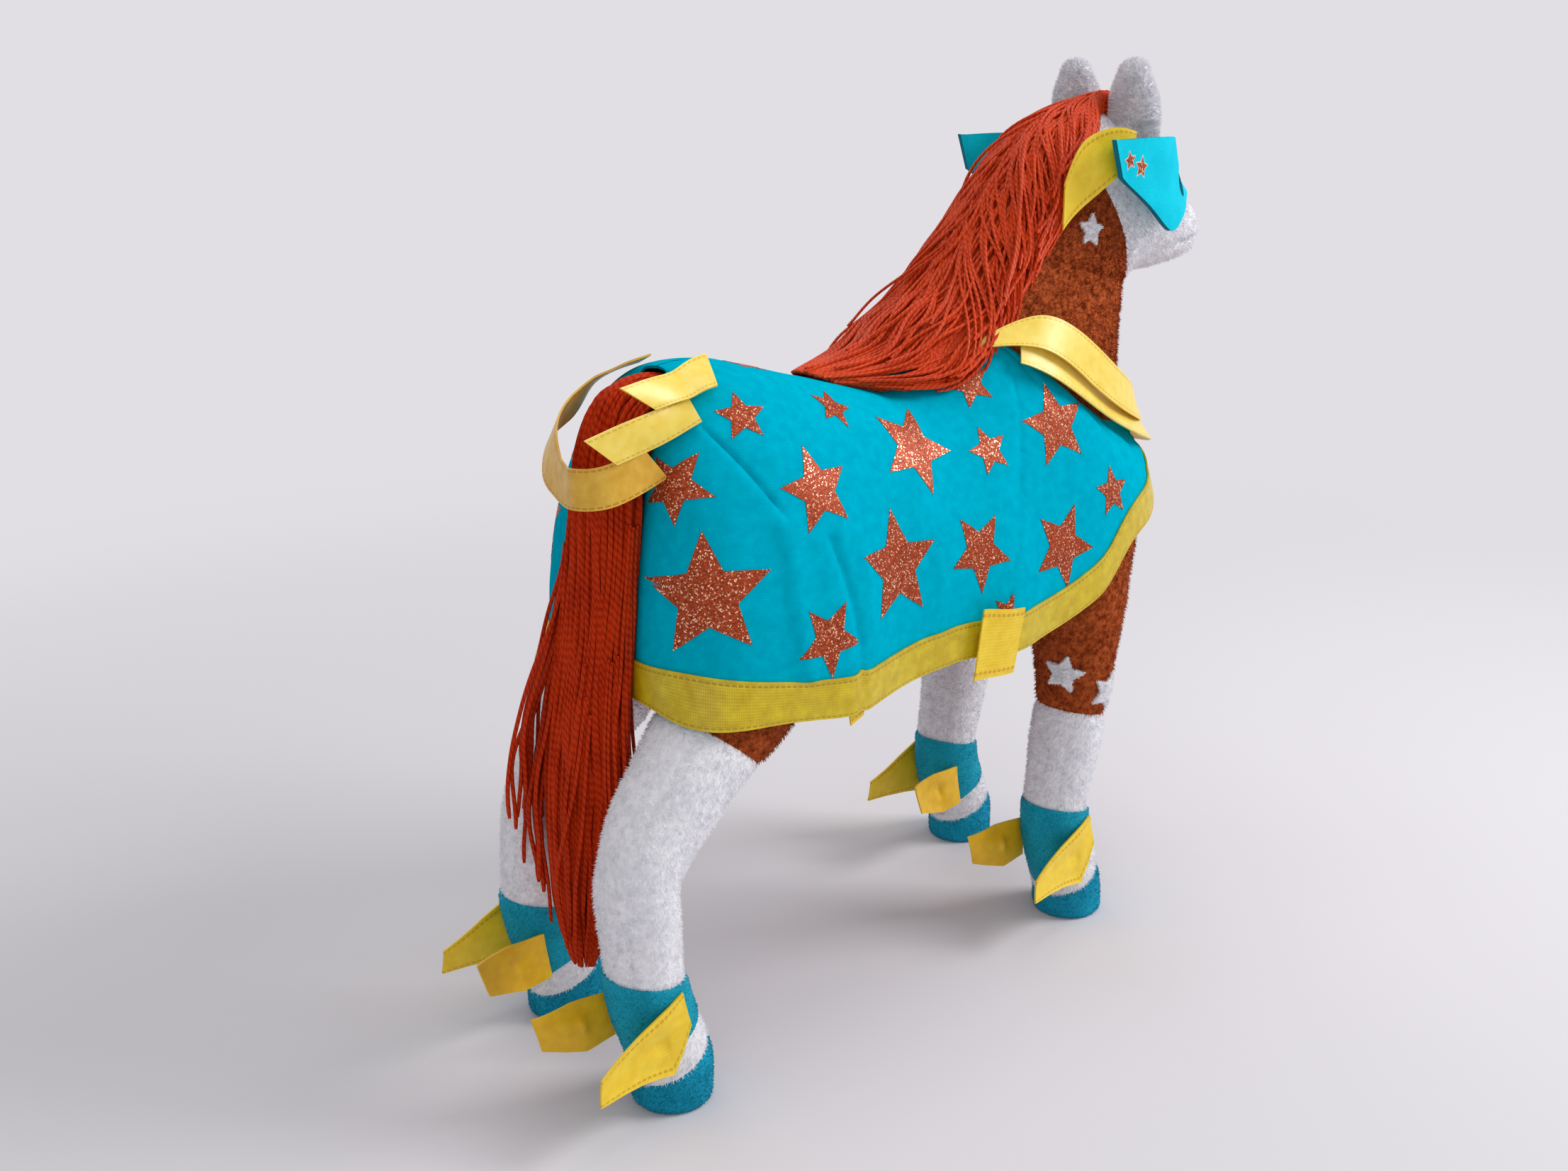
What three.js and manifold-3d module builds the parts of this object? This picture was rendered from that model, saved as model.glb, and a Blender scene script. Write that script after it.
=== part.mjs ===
// A plush horse that stands about 405 mm tall, in a show costume: a caparison blanket with ribbon hem and
// straps, a foam mask, felt fetlock cuffs with ribbon wings, and a mane and tail of yarn.
// Millimetres. +X is forward, +Y is the horse's left, +Z is up, and the floor is z = 0.
import * as THREE from "three";
import { mergeVertices } from "three/addons/utils/BufferGeometryUtils.js";
import Module from "manifold-3d";

const wasm = await Module();
wasm.setup();

const vec = (x, y, z) => new THREE.Vector3(x, y, z);

// Driving sizes

const seamGap = 0.4; // clearance between two sewn pieces
const clothThickness = 1.2;
const clothClearance = 1.5; // between the blanket and the body under it
const ribbonWidth = 16;
const ribbonThickness = 0.8;
const feltThickness = 1.6;
const patchThickness = 1.1;
const foamThickness = 2.4;
const wireRadius = 1.6;
const wireClearance = 0.4;
const yarnClearance = 1.2; // between a yarn bundle and what it lies on
const midSeam = -seamGap / 2; // y of the right half's edge along the middle of the back

const barrelHalfWidth = 50;
const hoofRadius = 15.6;
const hindHoof = { right: [-154.6, -43.4], left: [-147.6, 42.4] }; // middle of each hoof's sole
const foreHoof = { right: [95.1, -43.6], left: [118.5, 51] };
const stanceTop = 205; // height above which the two legs of a pair are alike
const stanceFoot = 92; // height below which each leg has its full stance
const cuffTop = 59;
const cuffBottom = 30;
const cuffRise = 0.4; // how steeply the bottom edge of a cuff rises to the front
const cuffClearance = 0.5;
const earHeight = 37;
const earHalfWidth = 12;
const earHalfDepth = 8.5;
const earPivot = [150, 17, 368]; // the left ear's
const earTilt = 12; // degrees each way
const eyePlace = [163, 24, 349]; // the left eye's
const eyeRadius = 4.5;
const eyeHoleRadius = 7.5;
const eyeFacing = 32; // degrees that an eye and its hole in the mask are turned forward from straight aside
const kneeStarRadius = 9.5;
const cheekStarRadius = 7.5;
const hindHockForward = { right: 0, left: 8 }; // how far forward of the usual place a hock stands
const dock = vec(-124, 0, 272); // middle of the round root of the tail
const dockRadius = 9;

// The plane across the neck where the head turns, and the plane between the brown and the white of the head
const headJoint = { point: vec(104.5, 0, 312), normal: vec(0.211, 0, 0.977).normalize() };
const faceSeam = { point: vec(124, 0, 342.5), normal: vec(67, 0, 48).normalize() };
const thighSeam = { point: vec(-137, 0, 153.5), normal: vec(-27, 0, -34).normalize() };
const forearmSeam = { point: vec(90, 0, 107), normal: vec(-0.2, 0, -1).normalize() };
const hoofLift = 0.42; // how steeply the top edge of a hoof rises to the front
const hoofMiddle = 19; // height of that edge over the middle of the hoof

// Colours of the finishes

const finish = {
  bay: new THREE.MeshStandardMaterial({ color: 0xa8501f, roughness: 0.95, metalness: 0 }),
  fleece: new THREE.MeshStandardMaterial({ color: 0xf2f1f4, roughness: 0.95, metalness: 0 }),
  felt: new THREE.MeshStandardMaterial({ color: 0x1a9db3, roughness: 0.95, metalness: 0 }),
  cloth: new THREE.MeshStandardMaterial({ color: 0x05a9c4, roughness: 0.7, metalness: 0 }),
  ribbon: new THREE.MeshStandardMaterial({ color: 0xe6cf33, roughness: 0.4, metalness: 0 }),
  foam: new THREE.MeshStandardMaterial({ color: 0x06c3d6, roughness: 0.6, metalness: 0 }),
  yarn: new THREE.MeshStandardMaterial({ color: 0xd1441a, roughness: 0.8, metalness: 0 }),
  bead: new THREE.MeshStandardMaterial({ color: 0x14100e, roughness: 0.15, metalness: 0 }),
  wire: new THREE.MeshStandardMaterial({ color: 0xa9adb2, roughness: 0.4, metalness: 1 }),
};

// Solids

function toSolid(geometry) {
  const bare = geometry.clone();
  bare.deleteAttribute("normal");
  bare.deleteAttribute("uv");
  const merged = mergeVertices(bare, 1e-3);
  const mesh = new wasm.Mesh({
    numProp: 3,
    vertProperties: new Float32Array(merged.attributes.position.array),
    triVerts: new Uint32Array(merged.index.array),
  });
  return new wasm.Manifold(mesh);
}

// The largest piece of a solid, as a geometry.
function toGeometry(solid) {
  const pieces = solid.decompose().sort((a, b) => b.volume() - a.volume());
  const mesh = pieces[0].getMesh();
  const geometry = new THREE.BufferGeometry();
  geometry.setAttribute("position", new THREE.BufferAttribute(new Float32Array(mesh.vertProperties), 3));
  geometry.setIndex(new THREE.BufferAttribute(new Uint32Array(mesh.triVerts), 1));
  geometry.computeVertexNormals();
  return geometry;
}

function cutAway(geometry, ...tools) {
  let solid = toSolid(geometry);
  for (const tool of tools) solid = solid.subtract(toSolid(tool));
  return toGeometry(solid);
}

function joined(...geometries) {
  let solid = toSolid(geometries[0]);
  for (const other of geometries.slice(1)) solid = solid.add(toSolid(other));
  return toGeometry(solid);
}

// Everything on the side of a plane that its normal points to, pushed along the normal by a clearance.
function beyond({ point, normal }, push = 0) {
  const size = 1200;
  const box = new THREE.BoxGeometry(size, size, size);
  box.translate(0, 0, size / 2 + push);
  box.applyQuaternion(new THREE.Quaternion().setFromUnitVectors(vec(0, 0, 1), normal));
  return box.translate(point.x, point.y, point.z);
}

const flipped = ({ point, normal }) => ({ point, normal: normal.clone().negate() });

// The part of a geometry before a plane, and the part past it, with a seam between them.
const before = (geometry, plane) => cutAway(geometry, beyond(plane, -seamGap / 2));
const past = (geometry, plane) => before(geometry, flipped(plane));

// Turns every face round if the closed skin encloses a negative volume.
function faceOut(geometry) {
  const position = geometry.attributes.position;
  const index = geometry.index.array;
  const [a, b, c] = [vec(0, 0, 0), vec(0, 0, 0), vec(0, 0, 0)];
  let volume = 0;
  for (let i = 0; i < index.length; i += 3) {
    a.fromBufferAttribute(position, index[i]);
    b.fromBufferAttribute(position, index[i + 1]);
    c.fromBufferAttribute(position, index[i + 2]);
    volume += a.dot(b.cross(c));
  }
  if (volume < 0) {
    for (let i = 0; i < index.length; i += 3) [index[i + 1], index[i + 2]] = [index[i + 2], index[i + 1]];
  }
  geometry.computeVertexNormals();
  return geometry;
}

// A closed skin over a row of rings that all have the same number of points. Each end is a fan to its middle.
function loft(rings) {
  const count = rings[0].length;
  const points = rings.flat();
  const middleOf = (ring) => ring.reduce((sum, p) => sum.add(p), vec(0, 0, 0)).divideScalar(count);
  const first = points.push(middleOf(rings[0])) - 1;
  const last = points.push(middleOf(rings[rings.length - 1])) - 1;
  const faces = [];
  for (let r = 0; r + 1 < rings.length; r++) {
    for (let k = 0; k < count; k++) {
      const a = r * count + k;
      const b = r * count + ((k + 1) % count);
      faces.push(a, b, b + count, a, b + count, a + count);
    }
  }
  const end = (rings.length - 1) * count;
  for (let k = 0; k < count; k++) {
    const next = (k + 1) % count;
    faces.push(first, next, k);
    faces.push(last, end + k, end + next);
  }
  const geometry = new THREE.BufferGeometry().setFromPoints(points);
  geometry.setIndex(faces);
  return faceOut(geometry);
}

// The row of numbers at share 0 to 1 of the way through a list of rows, on a smooth curve through them all.
function between(rows, share) {
  const place = share * (rows.length - 1);
  const i = Math.min(Math.floor(place), rows.length - 2);
  const t = place - i;
  const row = (k) => rows[THREE.MathUtils.clamp(k, 0, rows.length - 1)];
  const [p, q, r, s] = [row(i - 1), row(i), row(i + 1), row(i + 2)];
  return q.map((_, k) => {
    const slopeIn = (r[k] - p[k]) / 2;
    const slopeOut = (s[k] - q[k]) / 2;
    const bend = 2 * (q[k] - r[k]) + slopeIn + slopeOut;
    const lean = 3 * (r[k] - q[k]) - 2 * slopeIn - slopeOut;
    return ((bend * t + lean) * t + slopeIn) * t + q[k];
  });
}

// A stuffed form. Each station is one section: [back x, back z, front x, front z, middle y, half width].
// Back and front are the ends of the section as the side view shows it. Power 2 makes the sections ellipses,
// and more makes them squarer. A dome closes an end by that share of the end section's least half size.
function stuffed(stations, { grow = 0, rings = 16, sides = 18, firstDome = 0, lastDome = 0, power = 2 } = {}) {
  const domeRings = 3;
  const middle = (row) => vec((row[0] + row[2]) / 2, row[4], (row[1] + row[3]) / 2);
  const section = (share, shrink, push) => {
    const row = between(stations, share);
    const half = vec(row[2] - row[0], 0, row[3] - row[1]).divideScalar(2);
    const depth = half.length() + grow;
    const width = row[5] + grow;
    half.normalize();
    const onward = middle(between(stations, Math.min(share + 0.01, 1)));
    onward.sub(middle(between(stations, Math.max(share - 0.01, 0))));
    const ahead = vec(-half.z, 0, half.x);
    if (ahead.dot(onward) < 0) ahead.negate();
    const centre = middle(row).addScaledVector(ahead, push * (Math.min(depth, width) + grow));
    const squared = (value) => Math.sign(value) * Math.abs(value) ** (2 / power);
    return Array.from({ length: sides }, (_, k) => {
      const angle = (2 * Math.PI * k) / sides;
      const across = depth * shrink * squared(Math.cos(angle));
      const aside = width * shrink * squared(Math.sin(angle));
      return centre.clone().addScaledVector(half, across).add(vec(0, aside, 0));
    });
  };
  const dome = Array.from({ length: domeRings }, (_, i) => (Math.PI / 2) * ((i + 0.35) / domeRings));
  const outline = [];
  if (firstDome) for (const a of dome) outline.push(section(0, Math.sin(a), -firstDome * Math.cos(a)));
  for (let i = 0; i <= rings; i++) outline.push(section(i / rings, 1, 0));
  if (lastDome) for (const a of dome.reverse()) outline.push(section(1, Math.sin(a), lastDome * Math.cos(a)));
  return loft(outline);
}

// A grid of points moved along its own normals, to the side that outward points to.
function offsetGrid(grid, distance, outward) {
  const last = grid.length - 1;
  const lastRow = grid[0].length - 1;
  const at = (i, j) => grid[THREE.MathUtils.clamp(i, 0, last)][THREE.MathUtils.clamp(j, 0, lastRow)];
  return grid.map((column, i) =>
    column.map((p, j) => {
      const onward = at(i + 1, j).clone().sub(at(i - 1, j));
      const normal = at(i, j + 1).clone().sub(at(i, j - 1)).cross(onward).normalize();
      if (normal.dot(outward(p)) < 0) normal.negate();
      return p.clone().addScaledVector(normal, distance);
    }),
  );
}

// A closed sheet between two grids of points.
function sheetBetween(innerGrid, outerGrid) {
  const columns = innerGrid.length;
  const rows = innerGrid[0].length;
  const faces = [];
  const quad = (a, b, c, d) => faces.push(a, b, c, a, c, d);
  const inner = (i, j) => i * rows + j;
  const outer = (i, j) => columns * rows + i * rows + j;
  for (let i = 0; i + 1 < columns; i++) {
    for (let j = 0; j + 1 < rows; j++) {
      quad(inner(i, j), inner(i, j + 1), inner(i + 1, j + 1), inner(i + 1, j));
      quad(outer(i, j), outer(i + 1, j), outer(i + 1, j + 1), outer(i, j + 1));
    }
    quad(inner(i, 0), inner(i + 1, 0), outer(i + 1, 0), outer(i, 0));
    quad(inner(i, rows - 1), outer(i, rows - 1), outer(i + 1, rows - 1), inner(i + 1, rows - 1));
  }
  for (let j = 0; j + 1 < rows; j++) {
    quad(inner(0, j), outer(0, j), outer(0, j + 1), inner(0, j + 1));
    quad(inner(columns - 1, j), inner(columns - 1, j + 1), outer(columns - 1, j + 1), outer(columns - 1, j));
  }
  const geometry = new THREE.BufferGeometry().setFromPoints([...innerGrid.flat(), ...outerGrid.flat()]);
  geometry.setIndex(faces);
  return faceOut(geometry);
}

// A closed sheet that stands its thickness out from a grid of points, to the side that outward points to.
const sheet = (grid, thickness, outward) => sheetBetween(grid, offsetGrid(grid, thickness, outward));

// The grid of a ribbon along a path of [x, y, z, width] points that faces the way that facing gives.
function bandGrid(path, facing, steps) {
  return Array.from({ length: steps + 1 }, (_, i) => {
    const [x, y, z, width] = between(path, i / steps);
    const centre = vec(x, y, z);
    const onward = vec(...between(path, Math.min(i / steps + 0.01, 1)).slice(0, 3));
    onward.sub(vec(...between(path, Math.max(i / steps - 0.01, 0)).slice(0, 3)));
    const across = onward.cross(facing(centre)).normalize();
    return [-0.5, 0, 0.5].map((side) => centre.clone().addScaledVector(across, side * width));
  });
}

// A wire along a path of [x, y, z] points.
function rod(path, radius, steps) {
  const sides = 6;
  const ring = Array.from({ length: sides }, (_, k) => {
    const angle = (2 * Math.PI * k) / sides;
    return new THREE.Vector2(radius * Math.cos(angle), radius * Math.sin(angle));
  });
  const curve = new THREE.CatmullRomCurve3(path.map((p) => vec(...p)), false, "centripetal");
  return new THREE.ExtrudeGeometry(new THREE.Shape(ring), { extrudePath: curve, steps, bevelEnabled: false });
}

// A flat plate in a plane of constant y, from an outline of [x, z] points.
function plate(outline, y, thickness) {
  const shape = new THREE.Shape(outline.map(([x, z]) => new THREE.Vector2(x, z)));
  const geometry = new THREE.ExtrudeGeometry(shape, { depth: thickness, bevelEnabled: false });
  geometry.rotateX(Math.PI / 2);
  return geometry.translate(0, y + thickness / 2, 0);
}

// What a flat outline of [across, up] points covers on a stuffed form, as a patch of its own thickness.
// The outline is held upright before the form at a place and faces away along a compass angle from +X.
function patchOn(form, outline, place, facing, thickness, lift = seamGap) {
  const deep = 60;
  const shape = new THREE.Shape(outline.map((corner) => new THREE.Vector2(...corner)));
  const prism = new THREE.ExtrudeGeometry(shape, { depth: deep, bevelEnabled: false });
  prism.rotateX(Math.PI / 2).rotateZ(Math.PI).rotateZ(THREE.MathUtils.degToRad(facing - 90));
  prism.translate(...place);
  const skin = toSolid(form(lift + thickness)).intersect(toSolid(prism));
  return toGeometry(skin.subtract(toSolid(form(lift))));
}

function star(radius, turn) {
  return Array.from({ length: 10 }, (_, k) => {
    const reach = k % 2 ? radius * 0.45 : radius;
    const angle = THREE.MathUtils.degToRad(turn + 36 * k);
    return [reach * Math.sin(angle), reach * Math.cos(angle)];
  });
}

// Copies a geometry to the other side of the horse.
const mirrored = (geometry) => faceOut(mergeVertices(geometry.clone().scale(1, -1, 1), 1e-4));

// The point where a ray towards a heart point meets a body, or null.
function surfacePoint(body, point, heart) {
  const far = 400;
  const outward = point.clone().sub(heart).normalize();
  const ray = new THREE.Raycaster(heart.clone().addScaledVector(outward, far), outward.clone().negate());
  const hit = ray.intersectObject(body)[0];
  return hit ? { outward, reach: far - hit.distance } : null;
}

// How far out to one side a body reaches anywhere within an outline of [x, z] points.
function reachWithin(body, outline, sign) {
  const far = 400;
  const corners = outline.map(([x, z]) => vec(x, sign * far, z));
  const shares = [0, 0.2, 0.4, 0.6, 0.8];
  const starts = corners.flatMap((corner, k) =>
    corners.slice(k + 1).flatMap((other) => shares.map((share) => corner.clone().lerp(other, share))),
  );
  const reaches = starts.map((start) => {
    const hit = new THREE.Raycaster(start, vec(0, -sign, 0)).intersectObject(body)[0];
    return hit ? far - hit.distance : 0;
  });
  return Math.max(...reaches);
}

// Pushes a point out from its heart point until it clears a body. With hug it is also drawn in to it.
function clearOf(body, point, heart, clearance, hug = false) {
  const found = surfacePoint(body, point, heart);
  if (!found) return point;
  const reach = found.reach + clearance;
  if (!hug && reach < point.distanceTo(heart)) return point;
  return heart.clone().addScaledVector(found.outward, reach);
}

const bothFaces = new THREE.MeshBasicMaterial({ side: THREE.DoubleSide });
const asBody = (geometry) => new THREE.Mesh(geometry, bothFaces);

const root = new THREE.Group();
function add(name, geometry, material) {
  const mesh = new THREE.Mesh(geometry, material);
  mesh.name = name;
  root.add(mesh);
}

const sides = [
  { name: "right", sign: -1 },
  { name: "left", sign: 1 },
];

// Body, neck and head

const torsoStations = [
  [-118, 281, -118, 196, 0, 33],
  [-106, 287, -108, 178, 0, 44],
  [-84, 283.5, -84, 166, 0, barrelHalfWidth],
  [-50, 275, -50, 159, 0, barrelHalfWidth + 1],
  [-10, 267, -10, 156, 0, barrelHalfWidth],
  [35, 266, 35, 155, 0, barrelHalfWidth],
  [80, 266, 80, 158, 0, barrelHalfWidth - 1],
  [112, 260, 115, 168, 0, 44],
  [134, 246, 136, 186, 0, 33],
];
const neckStations = [
  [-24, 262, 138, 208, 0, 45],
  [3, 279, 146, 238, 0, 41],
  [22, 294, 150, 262, 0, 37],
  [39, 308, 153, 283, 0, 32],
  [54, 323, 156, 301, 0, 28.5],
  [72, 344, 160, 304.5, 0, 26.5],
  [91, 363, 163, 306, 0, 26.5],
  [112, 376, 166, 307, 0, 27],
  [136, 379, 171, 307.5, 0, 27],
  [160, 370, 180, 308, 0, 25.5],
  [180, 355, 190, 309, 0, 22],
  [194, 342, 199, 311, 0, 19.5],
];
const torsoForm = (grow) =>
  stuffed(torsoStations, { grow, rings: 13, sides: 20, firstDome: 0.3, lastDome: 0.5, power: 2.3 });
const neckForm = (grow) => stuffed(neckStations, { grow, rings: 18, sides: 16, lastDome: 0.8 });

// Legs. The stations are the right leg's; the left one has its own stance.

const hindStations = [
  [-126, 216, -56, 198, -31, 25],
  [-131, 192, -68, 170, -35.5, 25],
  [-141, 172, -94, 147, -38.5, 23.5],
  [-152, 158, -119, 131, -40, 21.5],
  [-165, 143, -137, 117, -41.5, 19],
  [-178, 124, -150, 103, -42.5, 17],
  [-184.5, 104, -154.5, 97, -43, 16],
  [-184, 84, -154, 84, -43, 15.3],
  [-182, 60, -153, 62, -43, 14.8],
  [-178.5, 42, -150, 47, -43, 14.2],
  [-173.5, 26, -144.5, 34, -43.2, 14],
  [-171, 10, -139, 20, -43.4, hoofRadius - 0.4],
  [-154.6 - hoofRadius, 2.5, -154.6 + hoofRadius, 4, -43.4, hoofRadius],
  [-168.8, 0, -140.4, 0, -43.4, hoofRadius - 1.2],
];
const foreStations = [
  [60, 216, 136, 208, -31, 24],
  [62, 192, 130, 187, -36, 23.5],
  [65, 170, 121, 166, -40, 22],
  [70, 148, 115, 146, -42, 19.8],
  [75, 127, 109.5, 127, -43, 18],
  [75.8, 108, 105, 108, -43.5, 16.5],
  [72.5, 90, 103, 92, -43.6, 16],
  [70.5, 73, 99.5, 75, -43.6, 15],
  [69, 58, 96.5, 61, -43.6, 14.3],
  [69.5, 42, 97.5, 47, -43.6, 13.8],
  [74, 25, 103.5, 34, -43.6, 14],
  [78.3, 10, 110, 20, -43.6, hoofRadius - 0.4],
  [95.1 - hoofRadius, 2.5, 95.1 + hoofRadius, 4, -43.6, hoofRadius],
  [80.4, 0, 109.8, 0, -43.6, hoofRadius - 1.2],
];

// How much of a leg's own stance it has at a height.
const stanceShare = (z) => THREE.MathUtils.smoothstep(stanceTop - z, 0, stanceTop - stanceFoot);
const hockShare = (z) => Math.exp(-(((z - 118) / 34) ** 2));

// How far a leg's middle is moved forward at a height, from where the right leg has it.
function stanceShift(z, hoofs, side) {
  const hock = hoofs === hindHoof ? hindHockForward[side.name] * hockShare(z) : 0;
  return (hoofs[side.name][0] - hoofs.right[0]) * stanceShare(z) + hock;
}

// The stations of one leg of a pair, moved from the right leg's places.
function standing(stations, hoofs, side) {
  const outward = Math.abs(hoofs[side.name][1]) - Math.abs(hoofs.right[1]);
  return stations.map(([backX, backZ, frontX, frontZ, y, width]) => {
    const middleZ = (backZ + frontZ) / 2;
    const shift = stanceShift(middleZ, hoofs, side);
    const middleY = side.sign * (Math.abs(y) + outward * stanceShare(middleZ));
    return [backX + shift, backZ, frontX + shift, frontZ, middleY, width];
  });
}

// A plane of the right leg moved to the same place on a leg with its own stance.
function standingPlane({ point, normal }, hoofs, side) {
  return { point: point.clone().add(vec(stanceShift(point.z, hoofs, side), 0, 0)), normal };
}

// The wires inside: one from rump to head, and one bow through each pair of legs.

const spinePath = [
  [-92, 0, 226],
  [-30, 0, 222],
  [30, 0, 224],
  [70, 0, 242],
  [92, 0, 274],
  [100.3, 0, 292.5],
  [107.6, 0, 326.5],
];
const bowLift = 2 * wireRadius + 1.5;

// The wire through a pair of legs, from just above one fetlock, over the spine wire, to the other.
function bow(stations, hoofs, crossing) {
  const down = (side) => {
    const rows = standing(stations, hoofs, side);
    const low = rows.findIndex((row) => row[3] < 50);
    const middles = rows.slice(0, low).map((row) => [(row[0] + row[2]) / 2, row[4], (row[1] + row[3]) / 2]);
    return middles.filter((_, i) => i % 2 === 0);
  };
  return [...down(sides[1]).reverse(), crossing, ...down(sides[0])];
}
const hindBow = bow(hindStations, hindHoof, [-80, 0, 226 + bowLift]);
const foreBow = bow(foreStations, foreHoof, [78.5, 0, 260.5 + bowLift]);
const wires = [
  ["spine_wire", spinePath, 14],
  ["hind_leg_wire", hindBow, 18],
  ["foreleg_wire", foreBow, 18],
];
// A path made longer at both ends.
function lengthened(path, by) {
  const points = path.map((p) => vec(...p));
  const beyondEnd = (end, inner) => end.clone().sub(inner).setLength(by).add(end).toArray();
  return [beyondEnd(points[0], points[1]), ...path.slice(1, -1), beyondEnd(points.at(-1), points.at(-2))];
}
const boreOf = ([, path, steps]) => rod(lengthened(path, wireClearance), wireRadius + wireClearance, steps);
const bores = wires.map(boreOf);
const dockBall = (grow) => new THREE.SphereGeometry(dockRadius + grow, 14, 8).translate(...dock);

const torso = cutAway(torsoForm(0), ...bores, dockBall(seamGap));
const neckAndHead = cutAway(neckForm(0), torsoForm(seamGap), ...bores);
add("torso", torso, finish.bay);
add("neck", before(neckAndHead, headJoint), finish.bay);

// Ears: each tilts on a rounded root in a socket of the head

function earForm(side, grow) {
  const [x, y, z] = earPivot;
  const place = side.sign * y;
  const back = x - earHalfDepth;
  const front = x + earHalfDepth;
  const [low, middle, high] = [0.3, 0.6, 0.85].map((share) => z + earHeight * share);
  const rows = [
    [back, z, front, z, place, earHalfWidth - 2.5],
    [back - 0.7, low, front - 0.7, low, place, earHalfWidth - 0.5],
    [back - 1.5, middle, front - 2.5, middle, place, earHalfWidth - 1.5],
    [back, high, front - 7, high, place, earHalfWidth - 5.5],
  ];
  return stuffed(rows, { grow, rings: 4, sides: 12, firstDome: 0.85, lastDome: 0.9 });
}

// The room that an ear sweeps as it tilts about its root, as a form that widens upwards.
function earSocket(side) {
  const [x, y, z] = earPivot;
  const height = 12;
  const swing = height * Math.tan(THREE.MathUtils.degToRad(earTilt)) + 1.5;
  const half = earHalfDepth + seamGap;
  const rows = [
    [x - half, z, x + half, z, y * side.sign, earHalfWidth],
    [x - half - swing, z + height, x + half + swing, z + height, y * side.sign, earHalfWidth + 1],
  ];
  return stuffed(rows, { rings: 1, sides: 12, firstDome: 0.95 });
}

const eyeBall = (side, radius) => {
  const [x, y, z] = eyePlace;
  return new THREE.SphereGeometry(radius, 9, 6).translate(x, y * side.sign, z);
};
const head = cutAway(
  past(neckAndHead, headJoint),
  ...sides.map((side) => earSocket(side)),
  ...sides.map((side) => eyeBall(side, eyeRadius + seamGap)),
);
add("head_crown", before(head, faceSeam), finish.bay);
add("head_face", past(head, faceSeam), finish.fleece);
for (const side of sides) {
  add(`ear_${side.name}`, earForm(side, 0), finish.fleece);
  add(`eye_${side.name}`, eyeBall(side, eyeRadius), finish.bead);
}
for (const [name, path, steps] of wires) add(name, rod(path, wireRadius, steps), finish.wire);

// Legs, hooves, cuffs and knee stars

function buildLeg(pair, stations, hoofs, seam, side) {
  const rows = standing(stations, hoofs, side);
  const form = (grow) => stuffed(rows, { grow, rings: 16, sides: 12 });
  const leg = cutAway(form(0), torsoForm(seamGap), neckForm(seamGap), ...bores);
  const seamPlane = standingPlane(seam, hoofs, side);
  const hoofPlane = {
    point: vec(hoofs[side.name][0], 0, hoofMiddle),
    normal: vec(hoofLift, 0, -1).normalize(),
  };
  const [upper, lower] = pair === "hind" ? ["thigh", "shank"] : ["forearm", "cannon"];
  const whiteLeg = past(leg, seamPlane);
  add(`${upper}_${side.name}`, before(leg, seamPlane), finish.bay);
  add(`${lower}_${side.name}`, before(whiteLeg, hoofPlane), finish.fleece);
  add(`hoof_${pair}_${side.name}`, past(whiteLeg, hoofPlane), finish.felt);

  const legX = hoofs[side.name][0] - 13;
  const overCuff = beyond({ point: vec(legX, 0, cuffTop), normal: vec(0.18, 0, 1).normalize() });
  const underCuff = beyond({ point: vec(legX, 0, cuffBottom), normal: vec(cuffRise, 0, -1).normalize() });
  const cuff = cutAway(form(cuffClearance + feltThickness), form(cuffClearance), overCuff, underCuff);
  add(`cuff_${pair}_${side.name}`, cuff, finish.felt);
  addWings(pair, hoofs, side, cuff);
  return form;
}

// The ribbon wings of a cuff, as outlines of [x, z] points from the middle of the hoof.
const wingOutlines = {
  outer: [
    [-7, 56],
    [-3.5, 41],
    [-12, 22],
    [-31, 25],
    [-50, 25],
    [-49, 36],
    [-21, 51],
  ],
  inner: [
    [-20, 48],
    [-17, 27],
    [-31, 25],
    [-50, 31],
    [-55, 47],
    [-38, 49],
  ],
};

function addWings(pair, hoofs, side, cuff) {
  const [x, y] = hoofs[side.name];
  const upright = asBody(cuff.clone().translate(0, -y, 0));
  for (const [place, facing] of [["outer", side.sign], ["inner", -side.sign]]) {
    const outline = wingOutlines[place].map(([forward, z]) => [x + forward, z]);
    const reach = reachWithin(upright, outline, facing) + seamGap + ribbonThickness / 2;
    const wing = plate(outline, y + facing * reach, ribbonThickness);
    add(`wing_${pair}_${side.name}_${place}`, wing, finish.ribbon);
  }
}

const legForms = [];
for (const side of sides) {
  const hind = buildLeg("hind", hindStations, hindHoof, thighSeam, side);
  const fore = buildLeg("fore", foreStations, foreHoof, forearmSeam, side);
  legForms.push(hind, fore);
  const knee = vec(91.5 + stanceShift(124, foreHoof, side), 44 * side.sign, 0);
  const kneeStars = [
    ["rear", 129, 180 - 24 * side.sign, 12],
    ["outer", 119, 80 * side.sign, 25],
  ];
  for (const [place, z, facing, turn] of kneeStars) {
    const patch = patchOn(fore, star(kneeStarRadius, turn), [knee.x, knee.y, z], facing, patchThickness);
    add(`knee_star_${place}_${side.name}`, patch, finish.fleece);
  }
  const cheek = patchOn(neckForm, star(cheekStarRadius, 8), [108, 0, 330], 90 * side.sign, patchThickness);
  add(`cheek_star_${side.name}`, cheek, finish.fleece);
}

// The blanket. Each column of its right half hangs from a top point to a hem point in a rounded drop:
// [top x, top y, top z, hem x, hem y, hem z, fullness forward, fullness sideways]. A low fullness is a square
// shoulder. The halves meet in a seam along the back, from the tail slit to the neck.

const bodyBulk = asBody(joined(torsoForm(0), neckForm(0), ...legForms.map((form) => form(0))));
const heartOf = (p) => vec(THREE.MathUtils.clamp(p.x, -85, 88), 0, 222);
const outwardOf = (p) => p.clone().sub(heartOf(p));

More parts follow.
